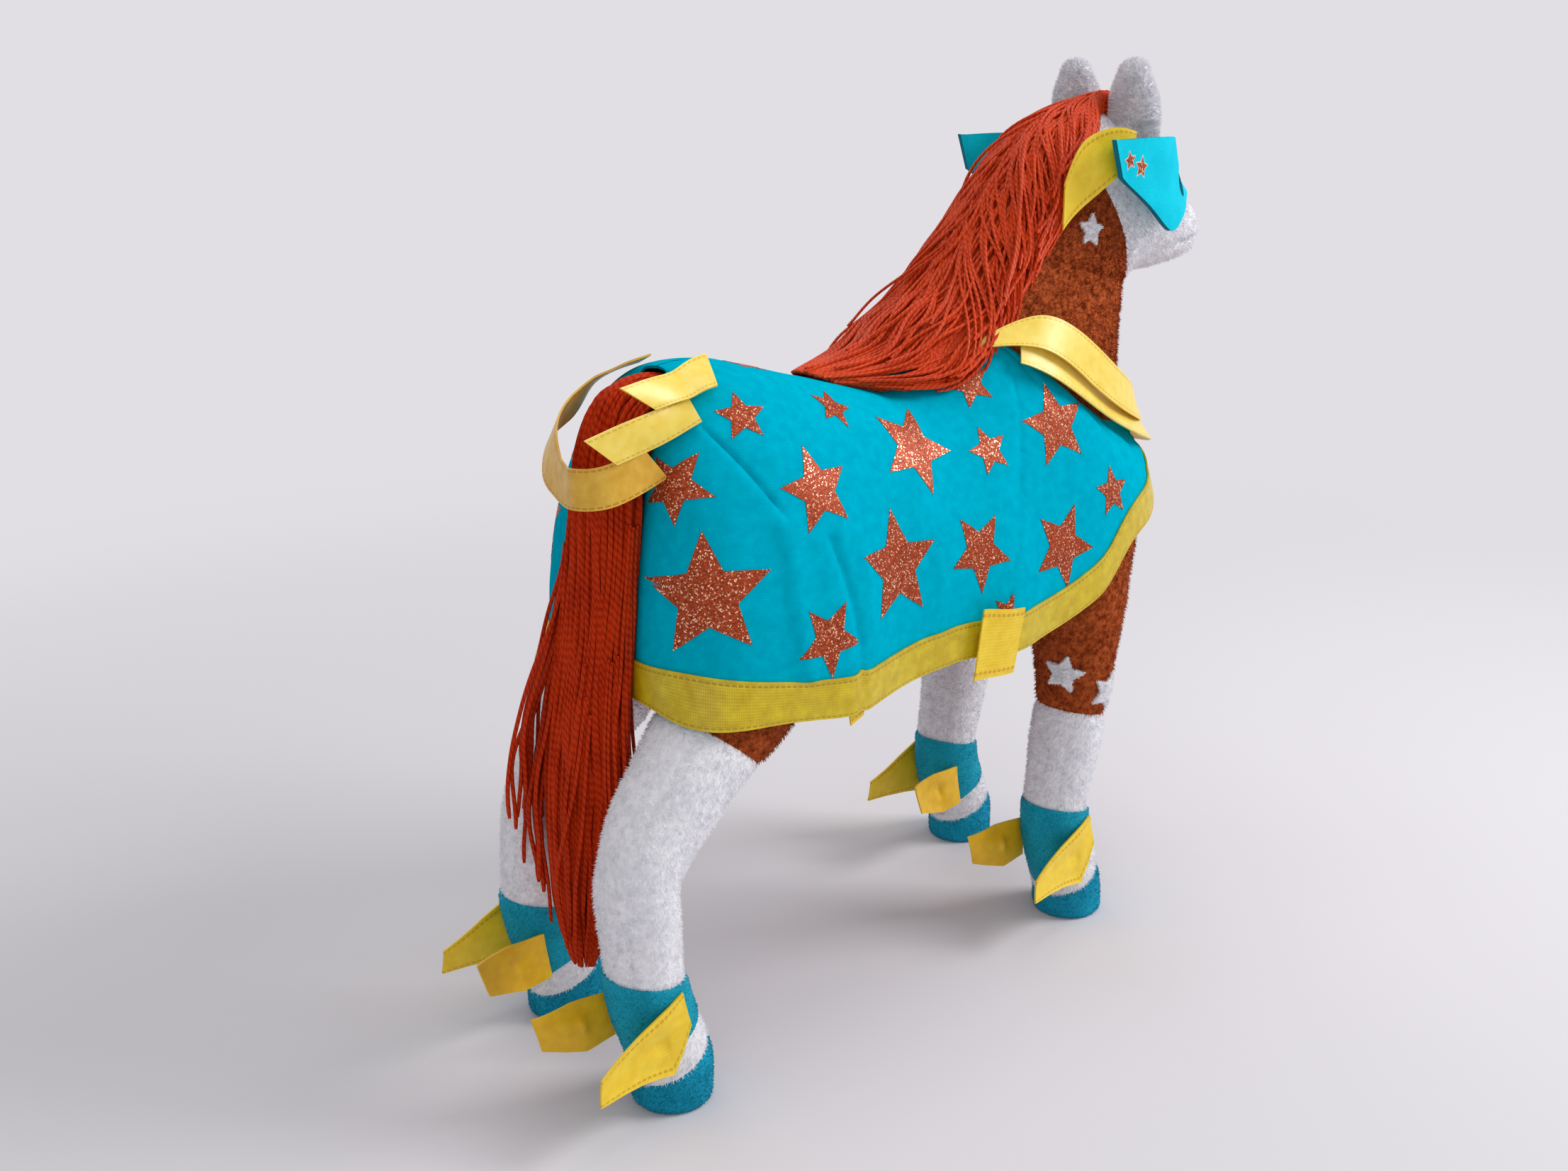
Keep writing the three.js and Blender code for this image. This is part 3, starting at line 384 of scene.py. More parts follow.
def make_piece(name: str, shells: Sequence[Shell], finishes: Sequence[Material]) -> bpy.types.Object:
    """Puts surfaces together into one named object at the origin.

    Args:
        name: The piece's name.
        shells: Its surfaces, in millimetres.
        finishes: Its materials; a surface's finish number picks one.

    Returns:
        The new object.
    """
    counts = np.cumsum([0] + [len(s.points) for s in shells])
    quads = np.concatenate([s.quads + start for s, start in zip(shells, counts)])
    tris = np.concatenate([s.tris + start for s, start in zip(shells, counts)])
    corners = np.concatenate([quads.ravel(), tris.ravel()]).astype(np.int32)
    starts = np.concatenate([np.arange(len(quads)) * 4, len(quads) * 4 + np.arange(len(tris)) * 3])
    maps = [s.quad_map for s in shells] + [s.tri_map for s in shells]
    flat = np.concatenate([part.reshape(-1, 2) for part in maps])
    numbers = np.array([s.finish for s in shells] * 2)
    which = np.repeat(numbers, [len(s.quads) for s in shells] + [len(s.tris) for s in shells])
    mesh = bpy.data.meshes.new(name)
    points = np.concatenate([s.points for s in shells]) * MM
    mesh.vertices.add(len(points))
    mesh.vertices.foreach_set("co", points.astype(np.float32).ravel())
    mesh.loops.add(len(corners))
    mesh.loops.foreach_set("vertex_index", corners)
    mesh.polygons.add(len(starts))
    mesh.polygons.foreach_set("loop_start", starts.astype(np.int32))
    mesh.polygons.foreach_set("material_index", which.astype(np.int32))
    mesh.uv_layers.new(name="UVMap").data.foreach_set("uv", flat.astype(np.float32).ravel())
    mesh.update(calc_edges=True)
    mesh.validate()
    mesh.shade_smooth()
    mesh.set_sharp_from_angle(angle=math.radians(SHARP_DEGREES))
    for finish in finishes:
        mesh.materials.append(finish)
    piece = bpy.data.objects.new(name, mesh)
    bpy.context.scene.collection.objects.link(piece)
    return piece


def spikes(
    points: Array, faces: Array, count: int, length: float, width: float, lean: Array, seed: int
) -> Shell:
    """The pile of a coat: small three-sided spikes spread evenly by area over a surface.

    A spike leans away from its face's normal, so its tip is root + length * unit(normal + lean + random tilt).

    Args:
        points: The surface's points.
        faces: Its triangles, facing out.
        count: How many spikes.
        length: Mean length of one.
        width: Radius of its root.
        lean: The way the pile is brushed.
        seed: Picks the places.

    Returns:
        The spikes.
    """
    rng = np.random.default_rng(seed)
    a, b, c = (points[faces[:, k]] for k in range(3))
    cross = np.cross(b - a, c - a)
    area = np.linalg.norm(cross, axis=1)
    face = rng.choice(len(faces), count, p=area / area.sum())
    s, t = np.sqrt(rng.random(count))[:, None], rng.random(count)[:, None]
    root = a[face] * (1 - s) + b[face] * s * (1 - t) + c[face] * s * t
    normal = unit(cross[face])
    side = unit(np.cross(normal, rng.normal(size=(count, 3))))
    other = np.cross(normal, side)
    swirl = ripple(root, 9, seed + 1)[:, None] * side * 0.35
    tip = root + unit(normal + lean + swirl + rng.normal(size=(count, 3)) * 0.3) * (
        length * rng.uniform(0.6, 1.25, (count, 1))
    )
    foot = root - normal * 0.15
    turn = TURN * np.arange(3) / 3
    way = np.cos(turn)[:, None] * side[:, None] + np.sin(turn)[:, None] * other[:, None]
    ring = foot[:, None] + width * way
    corners = np.concatenate([ring, tip[:, None]], axis=1).reshape(-1, 3)
    base = 4 * np.arange(count)[:, None, None]
    tris = (base + np.array([[0, 1, 3], [1, 2, 3], [2, 0, 3], [0, 2, 1]])).reshape(-1, 3)
    return Shell(corners, np.zeros((0, 4), int), np.zeros((0, 4, 2)), tris, np.zeros((len(tris), 3, 2)))


@dataclass(frozen=True)
class Pile:
    """The pile of a coat: how many tufts, their mean length, the way they are brushed, and their seed."""

    count: int
    length: float
    lean: Corner
    seed: int
    width: float = 0.25

    def on(self, shell: Shell) -> Shell:
        """The tufts of this pile on a closed surface."""
        faces = np.concatenate([shell.quads[:, :3], shell.quads[:, [0, 2, 3]], shell.tris])
        lean = np.array(self.lean)
        return spikes(shell.points, faces, self.count, self.length, self.width, lean, self.seed)


def ball(middle: Array, radius: float, rings: int, places: int, gap: float) -> Shell:
    """A ball whose first and last rings lie a small angle, the gap, from its poles."""
    lift, turn = round_grid(gap, np.pi - gap, rings, places)
    way = np.stack([np.sin(lift) * np.cos(turn), np.sin(lift) * np.sin(turn), np.cos(lift)], axis=-1)
    return grid_shell(middle + way * radius, around=True, closed=True)


# Stuffed forms


@dataclass(frozen=True)
class Plane:
    """A plane through a point, with a normal."""

    point: Corner
    normal: Corner

    def height(self, points: Array) -> Array:
        """How far points lie past the plane."""
        return (points - np.array(self.point)) @ unit(np.array(self.normal, float))


def crossings(places: Array, heights: Array, otherwise: float) -> Array:
    """Where each column of heights first rises through zero."""
    past = heights >= 0
    found = past.any(0)
    k = np.clip(past.argmax(0), 1, len(places) - 1)
    column = np.arange(heights.shape[1])
    low, high = heights[k - 1, column], heights[k, column]
    share = np.clip(-low / np.where(high - low == 0, 1, high - low), 0, 1)
    return np.where(found, places[k - 1] + (places[k] - places[k - 1]) * share, otherwise)


@dataclass(frozen=True)
class StuffedForm:
    """A stuffed cloth tube along sections of [back x, back z, front x, front z, middle y, half width]."""

    stations: Stations
    first_dome: float = 0
    last_dome: float = 0
    power: float = 2
    lump: float = 0.8
    lump_size: float = 17
    seed: int = 1

    def middle(self, share: Array) -> Array:
        """The middle of the section at a share of the length."""
        row = curve(self.stations, share)
        x, z = (row[..., 0] + row[..., 2]) / 2, (row[..., 1] + row[..., 3]) / 2
        return np.stack([x, row[..., 4], z], axis=-1)

    def skin(self, u: Array, angle: Array, grow: Array = 0.0, scale: Array = 1.0) -> Array:
        """Points of the skin.

        A section is a superellipse: half depth * cos(angle)^(2/power) along the line from back to front, and
        half width * sin(angle)^(2/power) along y. Past either end it closes in a dome, with radius cos and
        push sin of the overrun.

        Args:
            u: Share of the length, 0 to 1, with up to -1 or 2 in the domes.
            angle: Angle round the section; 0 is the front.
            grow: How far outside the form.
            scale: Scale of the section about its middle.

        Returns:
            The points.
        """
        u, angle, grow, scale = np.broadcast_arrays(u, angle, grow, scale)
        share = np.clip(u, 0, 1)
        over = np.clip(np.maximum(-u, u - 1), 0, 1)
        row = curve(self.stations, share)
        deep, tall = row[..., 2] - row[..., 0], row[..., 3] - row[..., 1]
        half = np.stack([deep, np.zeros_like(share), tall], axis=-1) / 2
        depth = np.linalg.norm(half, axis=-1) + grow
        width = row[..., 5] + grow
        half = unit(half)
        onward = self.middle(np.minimum(share + 0.01, 1)) - self.middle(np.maximum(share - 0.01, 0))
        ahead = np.stack([-half[..., 2], np.zeros_like(share), half[..., 0]], axis=-1)
        ahead = ahead * np.where((ahead * onward).sum(-1, keepdims=True) < 0, -1, 1)
        dome = np.where(u < 0, -self.first_dome, np.where(u > 1, self.last_dome, 0))
        push = dome * np.sin(over * np.pi / 2) * (np.minimum(depth, width) + grow)
        shrink = np.cos(over * np.pi / 2) * scale
        cos, sin = np.cos(angle), np.sin(angle)
        across = depth * shrink * np.sign(cos) * np.abs(cos) ** (2 / self.power)
        aside = width * shrink * np.sign(sin) * np.abs(sin) ** (2 / self.power)
        centre = self.middle(share) + ahead * push[..., None]
        return centre + half * across[..., None] + aside[..., None] * np.array([0, 1, 0])

    def surface(self, u: Array, v: Array) -> Array:
        """The lumpy skin at a share of the length and a share of the way round."""
        return self.padded(u, np.asarray(v) * TURN, 0.5)

    def padded(self, u: Array, angle: Array, grow: Array) -> Array:
        """The skin with the soft lumps of its stuffing."""
        lumps = self.lump * (0.5 + 0.5 * ripple(self.skin(u, angle), self.lump_size, self.seed))
        return self.skin(u, angle, grow + lumps)

    def trimmed(
        self,
        rings: int,
        sides: int,
        start: Plane | None = None,
        end: Plane | None = None,
        grow: float = 0.4,
        tuck: float = 1.5,
        drop: float = 0.0,
        seams: Sequence[float] = (),
    ) -> Array:
        """A grid of the skin between two planes, drawn in where it is sewn along them.

        Args:
            rings: Rings along the length.
            sides: Places in a ring.
            start: The plane it starts at, or none for its own end.
            end: The plane it ends at.
            grow: How far outside the form.
            tuck: How far the skin is drawn in at a seam.
            drop: How much further along the back of the last ring reaches, as a share of the length.
            seams: Angles of the seams that run along the form.

        Returns:
            The grid.
        """
        angle = np.arange(sides) * TURN / sides
        places = np.linspace(-1 if self.first_dome else 0, 2 if self.last_dome else 1, 300)
        track = self.skin(places[:, None], angle[None], grow)
        first = np.full(sides, places[0])
        last = np.full(sides, places[-1])
        if start:
            first = crossings(places, start.height(track), places[0])
        if end:
            last = crossings(places, end.height(track), places[-1])
        last = last + drop * bell(angle - np.pi, 0.7)
        u = first + (last - first) * np.linspace(0, 1, rings)[:, None]
        flat = self.skin(u, angle[None], grow)
        near = np.zeros(u.shape)
        for plane, sign in ((start, 1), (end, -1)):
            if plane:
                near = np.maximum(near, np.clip(1 - sign * plane.height(flat) / 5, 0, 1) ** 2)
        for seam in seams:
            near = np.maximum(near, 0.5 * bell(np.sin((angle - seam) / 2), 0.035))
        return self.padded(u, angle[None], grow - tuck * near)


@dataclass(frozen=True)
class Star:
    """A star laid on a surface: its middle, outer radius and turn in degrees."""

    place: Corner
    radius: float
    turn: float = 0.0
    waist: float = 0.46
    rings: int = 13

    def outline(self, angle: Array) -> Array:
        """Distance from the middle to the edge at an angle, along straight lines between tips and notches."""
        sector = TURN / 10
        phase = np.mod(angle, 2 * sector)
        phase = np.minimum(phase, 2 * sector - phase)
        reach = self.radius * self.waist * math.sin(sector)
        return reach / (self.waist * np.sin(sector - phase) + np.sin(phase))

    def laid(
        self, surface: Callable[[Array, Array], Array], outward: Array, lift: float, limits: Sequence
    ) -> Shell:
        """The star as a thin plate on a surface, found by Newton steps in the tangent plane.

        Args:
            surface: Gives points for shares u and v.
            outward: Roughly the way the surface faces there.
            lift: Height of the plate over the surface.
            limits: The least and greatest u and v that it may reach.

        Returns:
            The plate, with its rim sunk into the surface.
        """
        us, vs = shares((*limits[0], 121), (*limits[1], 121))
        sampled = surface(us, vs)
        gap = np.linalg.norm(sampled - np.array(self.place), axis=-1)
        gap = gap + 1e3 * (((sampled - np.array(self.place)) @ outward) < -12)
        nearest = gap.argmin()
        u0, v0 = us.ravel()[nearest], vs.ravel()[nearest]
        normal = surface_normals(surface, u0, v0, outward)
        up = unit(np.array([0, 0, 1.0]) - normal * normal[2])
        side = np.cross(up, normal)
        angle = np.arange(60) * TURN / 60
        steps = np.concatenate([np.linspace(0.02, 1, self.rings), [1, 0.02]])
        radii = steps[:, None] * self.outline(angle)[None]
        spin = angle + math.radians(self.turn)
        flat = radii[..., None] * (np.cos(spin)[:, None] * up + np.sin(spin)[:, None] * side)
        target = surface(u0, v0) + flat
        u, v = np.full(radii.shape, u0), np.full(radii.shape, v0)
        for _ in range(6):
            here = surface(u, v)
            du = (surface(u + SHARE_STEP, v) - here) / SHARE_STEP
            dv = (surface(u, v + SHARE_STEP) - here) / SHARE_STEP
            miss = target - here
            a, b, c, d = du @ up, dv @ up, du @ side, dv @ side
            area = a * d - b * c
            area = np.where(np.abs(area) < 1e-3, 1e-3, area)
            e, f = miss @ up, miss @ side
            u = np.clip(u + (e * d - b * f) / area, *limits[0])
            v = np.clip(v + (a * f - e * c) / area, *limits[1])
        heights = lift * np.array([1.0] * self.rings + [-1.2, -1.2])[:, None, None]
        plate = surface(u, v) + surface_normals(surface, u, v, normal) * heights
        return grid_shell(plate, around=True, closed=True)


def blocked_reach(points: Array, hearts: Array, cloud: Array, width: float = 3.4) -> Array:
    """How far out a cloud of points reaches along the ray from each heart through each point.

    Args:
        points: Places to look through, in a flat list.
        hearts: Where the rays start.
        cloud: The points of what may be in the way.
        width: How far off a ray a cloud point may lie.

    Returns:
        The greatest distance along each ray, or zero.
    """
    way = unit(points - hearts)
    reach = np.zeros(len(points))
    for start in range(0, len(points), 200):
        part = np.s_[start : start + 200]
        ahead = way[part] @ cloud.T - (way[part] * hearts[part]).sum(1)[:, None]
        span = (
            (cloud**2).sum(1)[None]
            - 2 * hearts[part] @ cloud.T
            + (hearts[part] ** 2).sum(1)[:, None]
        )
        aside = span - ahead**2
        reach[part] = np.where((aside < width**2) & (ahead > 0), ahead, 0).max(1)
    return reach


def heart_of(points: Array) -> Array:
    """The point of the body's heart line that a place of the costume is pushed away from."""
    x = points[..., 0]
    return np.stack([np.clip(x, HEART_BACK, HEART_FRONT), x * 0, x * 0 + HEART_HEIGHT], axis=-1)


def laid_over(points: Array, cloud: Array, lift: Array, hug: bool = False) -> Array:
    """Points pushed out from their hearts to clear a cloud by a lift; with hug also drawn in to it."""
    flat = points.reshape(-1, 3)
    hearts = heart_of(flat)
    reach = blocked_reach(flat, hearts, cloud)
    wanted = reach + np.broadcast_to(lift, points.shape[:-1]).reshape(-1)
    away = np.linalg.norm(flat - hearts, axis=1)
    move = (reach > 0) & (hug | (wanted > away))
    placed = np.where(move[:, None], hearts + unit(flat - hearts) * wanted[:, None], flat)
    return placed.reshape(points.shape)


def band(path: Array, facing_way: Callable[[Array], Array], steps: int, across: int) -> Array:
    """A ribbon's grid along a path of [x, y, z, width] rows, its width square to the way it faces."""
    rows = curve(np.array(path, float), np.linspace(0, 1, steps + 1))
    centre = rows[:, :3]
    tangent = unit(np.gradient(centre, axis=0))
    wide = unit(np.cross(facing_way(centre), tangent))
    share = np.linspace(-0.5, 0.5, across + 1)
    return centre[:, None] + wide[:, None] * (rows[:, 3:] * share)[..., None]


def bolt(columns: Sequence, y: float, steps: int, across: int, crisp: bool = False) -> Array:
    """A ribbon's grid in an upright plane.

    Args:
        columns: Rows of [top x, top z, bottom x, bottom z] along the ribbon.
        y: Distance of the plane from the middle.
        steps: Cells along it.
        across: Cells across it.
        crisp: Whether its edges are straight between the columns.

    Returns:
        The grid.
    """
    columns = np.array(columns, float)
    run = np.linspace(0, 1, steps + 1)
    rows = curve(columns, run)
    if crisp:
        place = np.linspace(0, 1, len(columns))
        rows = np.stack([np.interp(run, place, column) for column in columns.T], axis=1)
    rows = rows[:, None]
    share = np.linspace(0, 1, across + 1)[None]
    x = rows[..., 0] * (1 - share) + rows[..., 2] * share
    z = rows[..., 1] * (1 - share) + rows[..., 3] * share
    return np.stack([x, np.full(x.shape, y), z], axis=-1)


def between_edges(edges: Array, places: int) -> Array:
    """A ribbon's grid of straight lines, each between the two edge points of its row."""
    share = np.linspace(0, 1, places)[None, :, None]
    return edges[:, :1] * (1 - share) + edges[:, 1:] * share


def ruled(columns: Sequence, steps: int, across: int) -> Array:
    """A ribbon's grid between two edges, by rows of the x, y and z of both."""
    rows = curve(np.array(columns, float), np.linspace(0, 1, steps + 1))
    return between_edges(rows.reshape(-1, 2, 3), across + 1)


def draped_ribbon(
    grid: Array, cloud: Array, lift: Array, rings: int, places: int, hug: bool = False
) -> Array:
    """A ribbon laid over a cloud of points with every line across it straight, so that it has no dents.

    Each edge moves away from the heart as its own points need, and both by more where the middle needs it.
    The moves are eased along the ribbon.

    Args:
        grid: The ribbon before it is laid.
        cloud: The points it lies over.
        lift: How far it stays clear of them.
        rings: Rings of the result along the ribbon.
        places: Places of the result across it.
        hug: Whether it is also drawn in to the cloud.

    Returns:
        The finer grid.
    """
    hearts = heart_of(grid)
    laid = laid_over(grid, cloud, lift, hug)
    need = np.linalg.norm(laid - hearts, axis=-1) - np.linalg.norm(grid - hearts, axis=-1)
    edges = need[:, [0, -1]]
    edges = edges + np.maximum(need.max(1) - edges.mean(1), 0)[:, None]
    if not hug:
        wide = np.concatenate([edges[:1], edges, edges[-1:]])
        edges = np.maximum(np.maximum(wide[:-2], wide[2:]), edges)
    edges = eased(edges, 2)
    middle = grid.mean(1)
    moved = grid[:, [0, -1]] + unit(middle - heart_of(middle))[:, None] * edges[..., None]
    fine = curve(moved.reshape(len(grid), 6), np.linspace(0, 1, rings))
    return between_edges(fine.reshape(rings, 2, 3), places)


def ribbon_map(grid: Array, width: float = 16) -> Array:
    """A ribbon's flat map: millimetres along it, and 0 to its full width across it."""
    flat = lengths_map(grid, False)
    flat[..., 1] = np.linspace(0, width, grid.shape[1])
    return flat


def distance_to(points: Array, path: Array) -> Array:
    """Distance from every point to a line of points."""
    line = curve(np.array(path, float), np.linspace(0, 1, 60))
    return np.sqrt(((points[..., None, :] - line) ** 2).sum(-1)).min(-1)


# Finishes


def linear(colour: Colour) -> tuple[float, ...]:
    """A display colour of 0 to 255 as the linear colour that nodes take."""
    parts = [c / 255 for c in colour]
    return (*(c / 12.92 if c <= 0.04045 else ((c + 0.055) / 1.055) ** 2.4 for c in parts), 1.0)


class Graph:
    """Adds nodes to a tree by short calls."""

    def __init__(self, tree: bpy.types.NodeTree) -> None:
        """Takes the tree to add to."""
        self.tree = tree

    def add(self, kind: str, values: dict | None = None, **settings: object) -> bpy.types.Node:
        """Adds one node.

        Args:
            kind: The node's type name.
            values: Its inputs by name or number; a socket is linked and anything else is set.
            settings: Its own settings.

        Returns:
            The node.
        """
        node = self.tree.nodes.new(kind)
        for name, value in settings.items():
            setattr(node, name, value)
        for name, value in (values or {}).items():
            if isinstance(value, Socket):
                self.tree.links.new(value, node.inputs[name])
            else:
                node.inputs[name].default_value = value
        return node

    def math(self, operation: str, *values: object) -> Socket:
        """Adds a math node and gives its result."""
        return self.add("ShaderNodeMath", dict(enumerate(values)), operation=operation).outputs[0]

    def noise(self, vector: Socket, scale: object, detail: float = 2.0) -> Socket:
        """Adds a noise texture and gives its value."""
        values = {"Vector": vector, "Scale": scale, "Detail": detail}
        return self.add("ShaderNodeTexNoise", values).outputs[0]

    def ramp(self, value: Socket, low: float, high: float) -> Socket:
        """Adds a smooth step from 0 at low to 1 at high."""
        values = {"Value": value, "From Min": low, "From Max": high}
        return self.add("ShaderNodeMapRange", values, interpolation_type="SMOOTHSTEP").outputs[0]

    def mix(self, share: object, one: object, other: object) -> Socket:
        """Adds a colour mix and gives its result; 6, 7 and 2 are the colour sockets among the node's own."""
        return self.add("ShaderNodeMix", {0: share, 6: one, 7: other}, data_type="RGBA").outputs[2]

    def group(self, tree: bpy.types.NodeTree, **values: object) -> bpy.types.Node:
        """Adds a shared effect."""
        node = self.tree.nodes.new("ShaderNodeGroup")
        node.node_tree = tree
        for name, value in values.items():
            node.inputs[name].default_value = value
        return node


class Effect(Enum):
    """The shared effects, each with its inputs and outputs."""

    NAP = ("Nap", {"Scale": 900.0, "Patches": 60.0}, ("Shade", "Height"))
    WEAVE = ("Weave", {"Threads": 2.2}, ("Shade", "Height"))
    STITCHES = ("Stitches", {"Inset": 1.6, "Width": 16.0}, ("Mask", "Height"))
    PLIES = ("Plies", {"Pitch": 5.0}, ("Shade", "Height"))
    GLITTER = ("Glitter", {"Scale": 1500.0}, ("Shade", "Sparkle", "Height"))
    WEAR = ("Wear", {"Scale": 18.0}, ("Mask",))


class Effects:
    """Makes each shared effect once, as a node group."""

    def __init__(self) -> None:
        """Builds every effect."""
        makers = {
            Effect.NAP: self.nap,
            Effect.WEAVE: self.weave,
            Effect.STITCHES: self.stitches,
            Effect.PLIES: self.plies,
            Effect.GLITTER: self.glitter,
            Effect.WEAR: self.wear,
        }
        self.trees = {}
        for effect, maker in makers.items():
            name, inputs, outputs = effect.value
            tree = bpy.data.node_groups.new(name, "ShaderNodeTree")
            for socket, value in inputs.items():
                made = tree.interface.new_socket(socket, in_out="INPUT", socket_type="NodeSocketFloat")
                made.default_value = value
            for socket in outputs:
                tree.interface.new_socket(socket, in_out="OUTPUT", socket_type="NodeSocketFloat")
            graph = Graph(tree)
            entry = graph.add("NodeGroupInput")
            results = maker(graph, entry.outputs)
            graph.add("NodeGroupOutput", dict(zip(outputs, results)))
            self.trees[effect] = tree

    def place(self, graph: Graph, name: str = "Object") -> Socket:
        """Object coordinates, or the flat map."""
        return graph.add("ShaderNodeTexCoord").outputs[name]

    def nap(self, graph: Graph, entry: Sequence) -> tuple:
        """Short fibres brushed in patches."""
        place = self.place(graph)
        fibre = graph.noise(place, entry["Scale"], 3.0)
        patch = graph.noise(place, entry["Patches"], 3.0)
        shade = graph.math("MULTIPLY_ADD", fibre, 0.55, graph.math("MULTIPLY", patch, 0.45))
        return graph.ramp(shade, 0.3, 0.7), graph.math("ADD", fibre, patch)

    def weave(self, graph: Graph, entry: Sequence) -> tuple:
        """Plain woven threads: height = max(|sin| of one way, |sin| of the other). The colour is lighter on
        the crests and darker between the threads as painted shade, with a random uneven tone mixed in.
        """
        parts = graph.add("ShaderNodeSeparateXYZ", {0: self.place(graph, "UV")}).outputs
        turn = graph.math("MULTIPLY", entry["Threads"], math.pi)
        warp = graph.math("ABSOLUTE", graph.math("SINE", graph.math("MULTIPLY", parts[0], turn)))
        weft = graph.math("ABSOLUTE", graph.math("SINE", graph.math("MULTIPLY", parts[1], turn)))
        height = graph.math("MAXIMUM", warp, weft)
        uneven = graph.noise(self.place(graph), 220.0, 3.0)
        # Painted shade between the threads: the colour follows the thread height, mixed with a random uneven
        # tone.
        shade = graph.math("MULTIPLY_ADD", height, 0.35, graph.math("MULTIPLY", uneven, 0.65))
        return graph.ramp(shade, 0.3, 0.95), height

    def stitches(self, graph: Graph, entry: Sequence) -> tuple:
        """Dashes of thread along both edges of a ribbon."""
        parts = graph.add("ShaderNodeSeparateXYZ", {0: self.place(graph, "UV")}).outputs
        middle = graph.math("MULTIPLY", entry["Width"], 0.5)
        edge = graph.math("ABSOLUTE", graph.math("SUBTRACT", parts[1], middle))
        line = graph.math("SUBTRACT", middle, entry["Inset"])
        aside = graph.math("ABSOLUTE", graph.math("SUBTRACT", edge, line))
        along = graph.math("FRACT", graph.math("MULTIPLY", parts[0], 0.38))
        dash = graph.ramp(graph.math("ABSOLUTE", graph.math("SUBTRACT", along, 0.5)), 0.4, 0.3)
        near = graph.ramp(aside, 0.55, 0.2)
        groove = graph.ramp(aside, 1.3, 0.0)
        mask = graph.math("MULTIPLY", near, dash)
        return mask, graph.math("SUBTRACT", graph.math("MULTIPLY", mask, 0.9), groove)

    def plies(self, graph: Graph, entry: Sequence) -> tuple:
        """The turned plies of a yarn: a wave that climbs as it goes round. The colour follows the wave as
        painted shade in the grooves between the plies, with random patches mixed in.
        """
        parts = graph.add("ShaderNodeSeparateXYZ", {0: self.place(graph, "UV")}).outputs
        climb = graph.math("DIVIDE", parts[0], entry["Pitch"])
        round_it = graph.math("MULTIPLY", parts[1], 2.0)
        turn = graph.math("MULTIPLY", graph.math("ADD", climb, round_it), math.pi)
        wave = graph.math("ABSOLUTE", graph.math("SINE", turn))
        fuzz = graph.noise(self.place(graph), 1400.0, 2.0)
        patch = graph.noise(self.place(graph), 70.0, 2.0)
        uneven = graph.math("MULTIPLY_ADD", patch, 0.5, graph.math("MULTIPLY", fuzz, 0.2))
        # Painted shade in the ply grooves: the colour follows the ply wave, mixed with random patches.
        shade = graph.math("MULTIPLY_ADD", wave, 0.4, uneven)
        return graph.ramp(shade, 0.15, 0.85), graph.math("MULTIPLY_ADD", fuzz, 0.35, wave)

    def glitter(self, graph: Graph, entry: Sequence) -> tuple:
        """Flakes of glitter: each cell has its own brightness, and a few cells are coloured pale as a painted
        glint.
        """
        values = {"Vector": self.place(graph), "Scale": entry["Scale"]}
        cell = graph.add("ShaderNodeTexVoronoi", values)
        tone = graph.add("ShaderNodeSeparateColor", {0: cell.outputs["Color"]}).outputs
        return tone[0], graph.ramp(tone[1], 0.86, 0.96), tone[2]

    def wear(self, graph: Graph, entry: Sequence) -> tuple:
        """Soft patches of handling and dust."""
        return (graph.ramp(graph.noise(self.place(graph), entry["Scale"], 4.0), 0.42, 0.72),)


effects = Effects()


@dataclass(frozen=True)
class Finish:
    """A finish: its darker and lighter colours and how its surface is made up."""

    name: str
    dark: Colour
    light: Colour
    effect: Effect = Effect.NAP
    settings: tuple[tuple[str, float], ...] = ()
    roughness: float = 0.9
    depth: float = 0.5
    relief: float = 0.6
    coat: float = 0.0
    metal: float = 0.0
    shine: float = 0.2
    stitches: Colour | None = None
    inset: float = 1.6
    worn: float = 0.03

    def make(self) -> Material:
        """Builds the finish as a material: colours mixed by the effect's shade, with its height as a bump."""
        material = bpy.data.materials.new(self.name)
        material.use_nodes = True
        graph = Graph(material.node_tree)
        shader = material.node_tree.nodes["Principled BSDF"]
        look = graph.group(effects.trees[self.effect], **dict(self.settings)).outputs
        colour = graph.mix(look["Shade"], linear(self.dark), linear(self.light))
        worn = graph.group(effects.trees[Effect.WEAR]).outputs["Mask"]
        faded = tuple(int(c + (235 - c) * 0.25) for c in self.light)
        colour = graph.mix(graph.math("MULTIPLY", worn, self.worn), colour, linear(faded))
        height = look["Height"]
        if self.stitches:
            seam = graph.group(effects.trees[Effect.STITCHES], Inset=self.inset).outputs
            colour = graph.mix(seam["Mask"], colour, linear(self.stitches))
            height = graph.math("ADD", graph.math("MULTIPLY", height, 0.3), seam["Height"])
        rough = graph.math("MULTIPLY_ADD", look["Shade"], -0.12, self.roughness)
        if self.effect is Effect.GLITTER:
            # Painted glint: a few glitter cells take a pale colour in place of the light that the flakes would
            # reflect.
            colour = graph.mix(look["Sparkle"], colour, linear((255, 206, 170)))
            rough = graph.math("MULTIPLY_ADD", look["Sparkle"], -0.25, self.roughness)
        values = {"Height": height, "Strength": self.depth, "Distance": self.relief * MM}
        bump = graph.add("ShaderNodeBump", values)
        graph.tree.links.new(colour, shader.inputs["Base Color"])
        graph.tree.links.new(rough, shader.inputs["Roughness"])
        graph.tree.links.new(bump.outputs[0], shader.inputs["Normal"])
        shader.inputs["Coat Weight"].default_value = self.coat
        shader.inputs["Coat Roughness"].default_value = 0.35
        shader.inputs["Metallic"].default_value = self.metal
        shader.inputs["Specular IOR Level"].default_value = self.shine
        return material


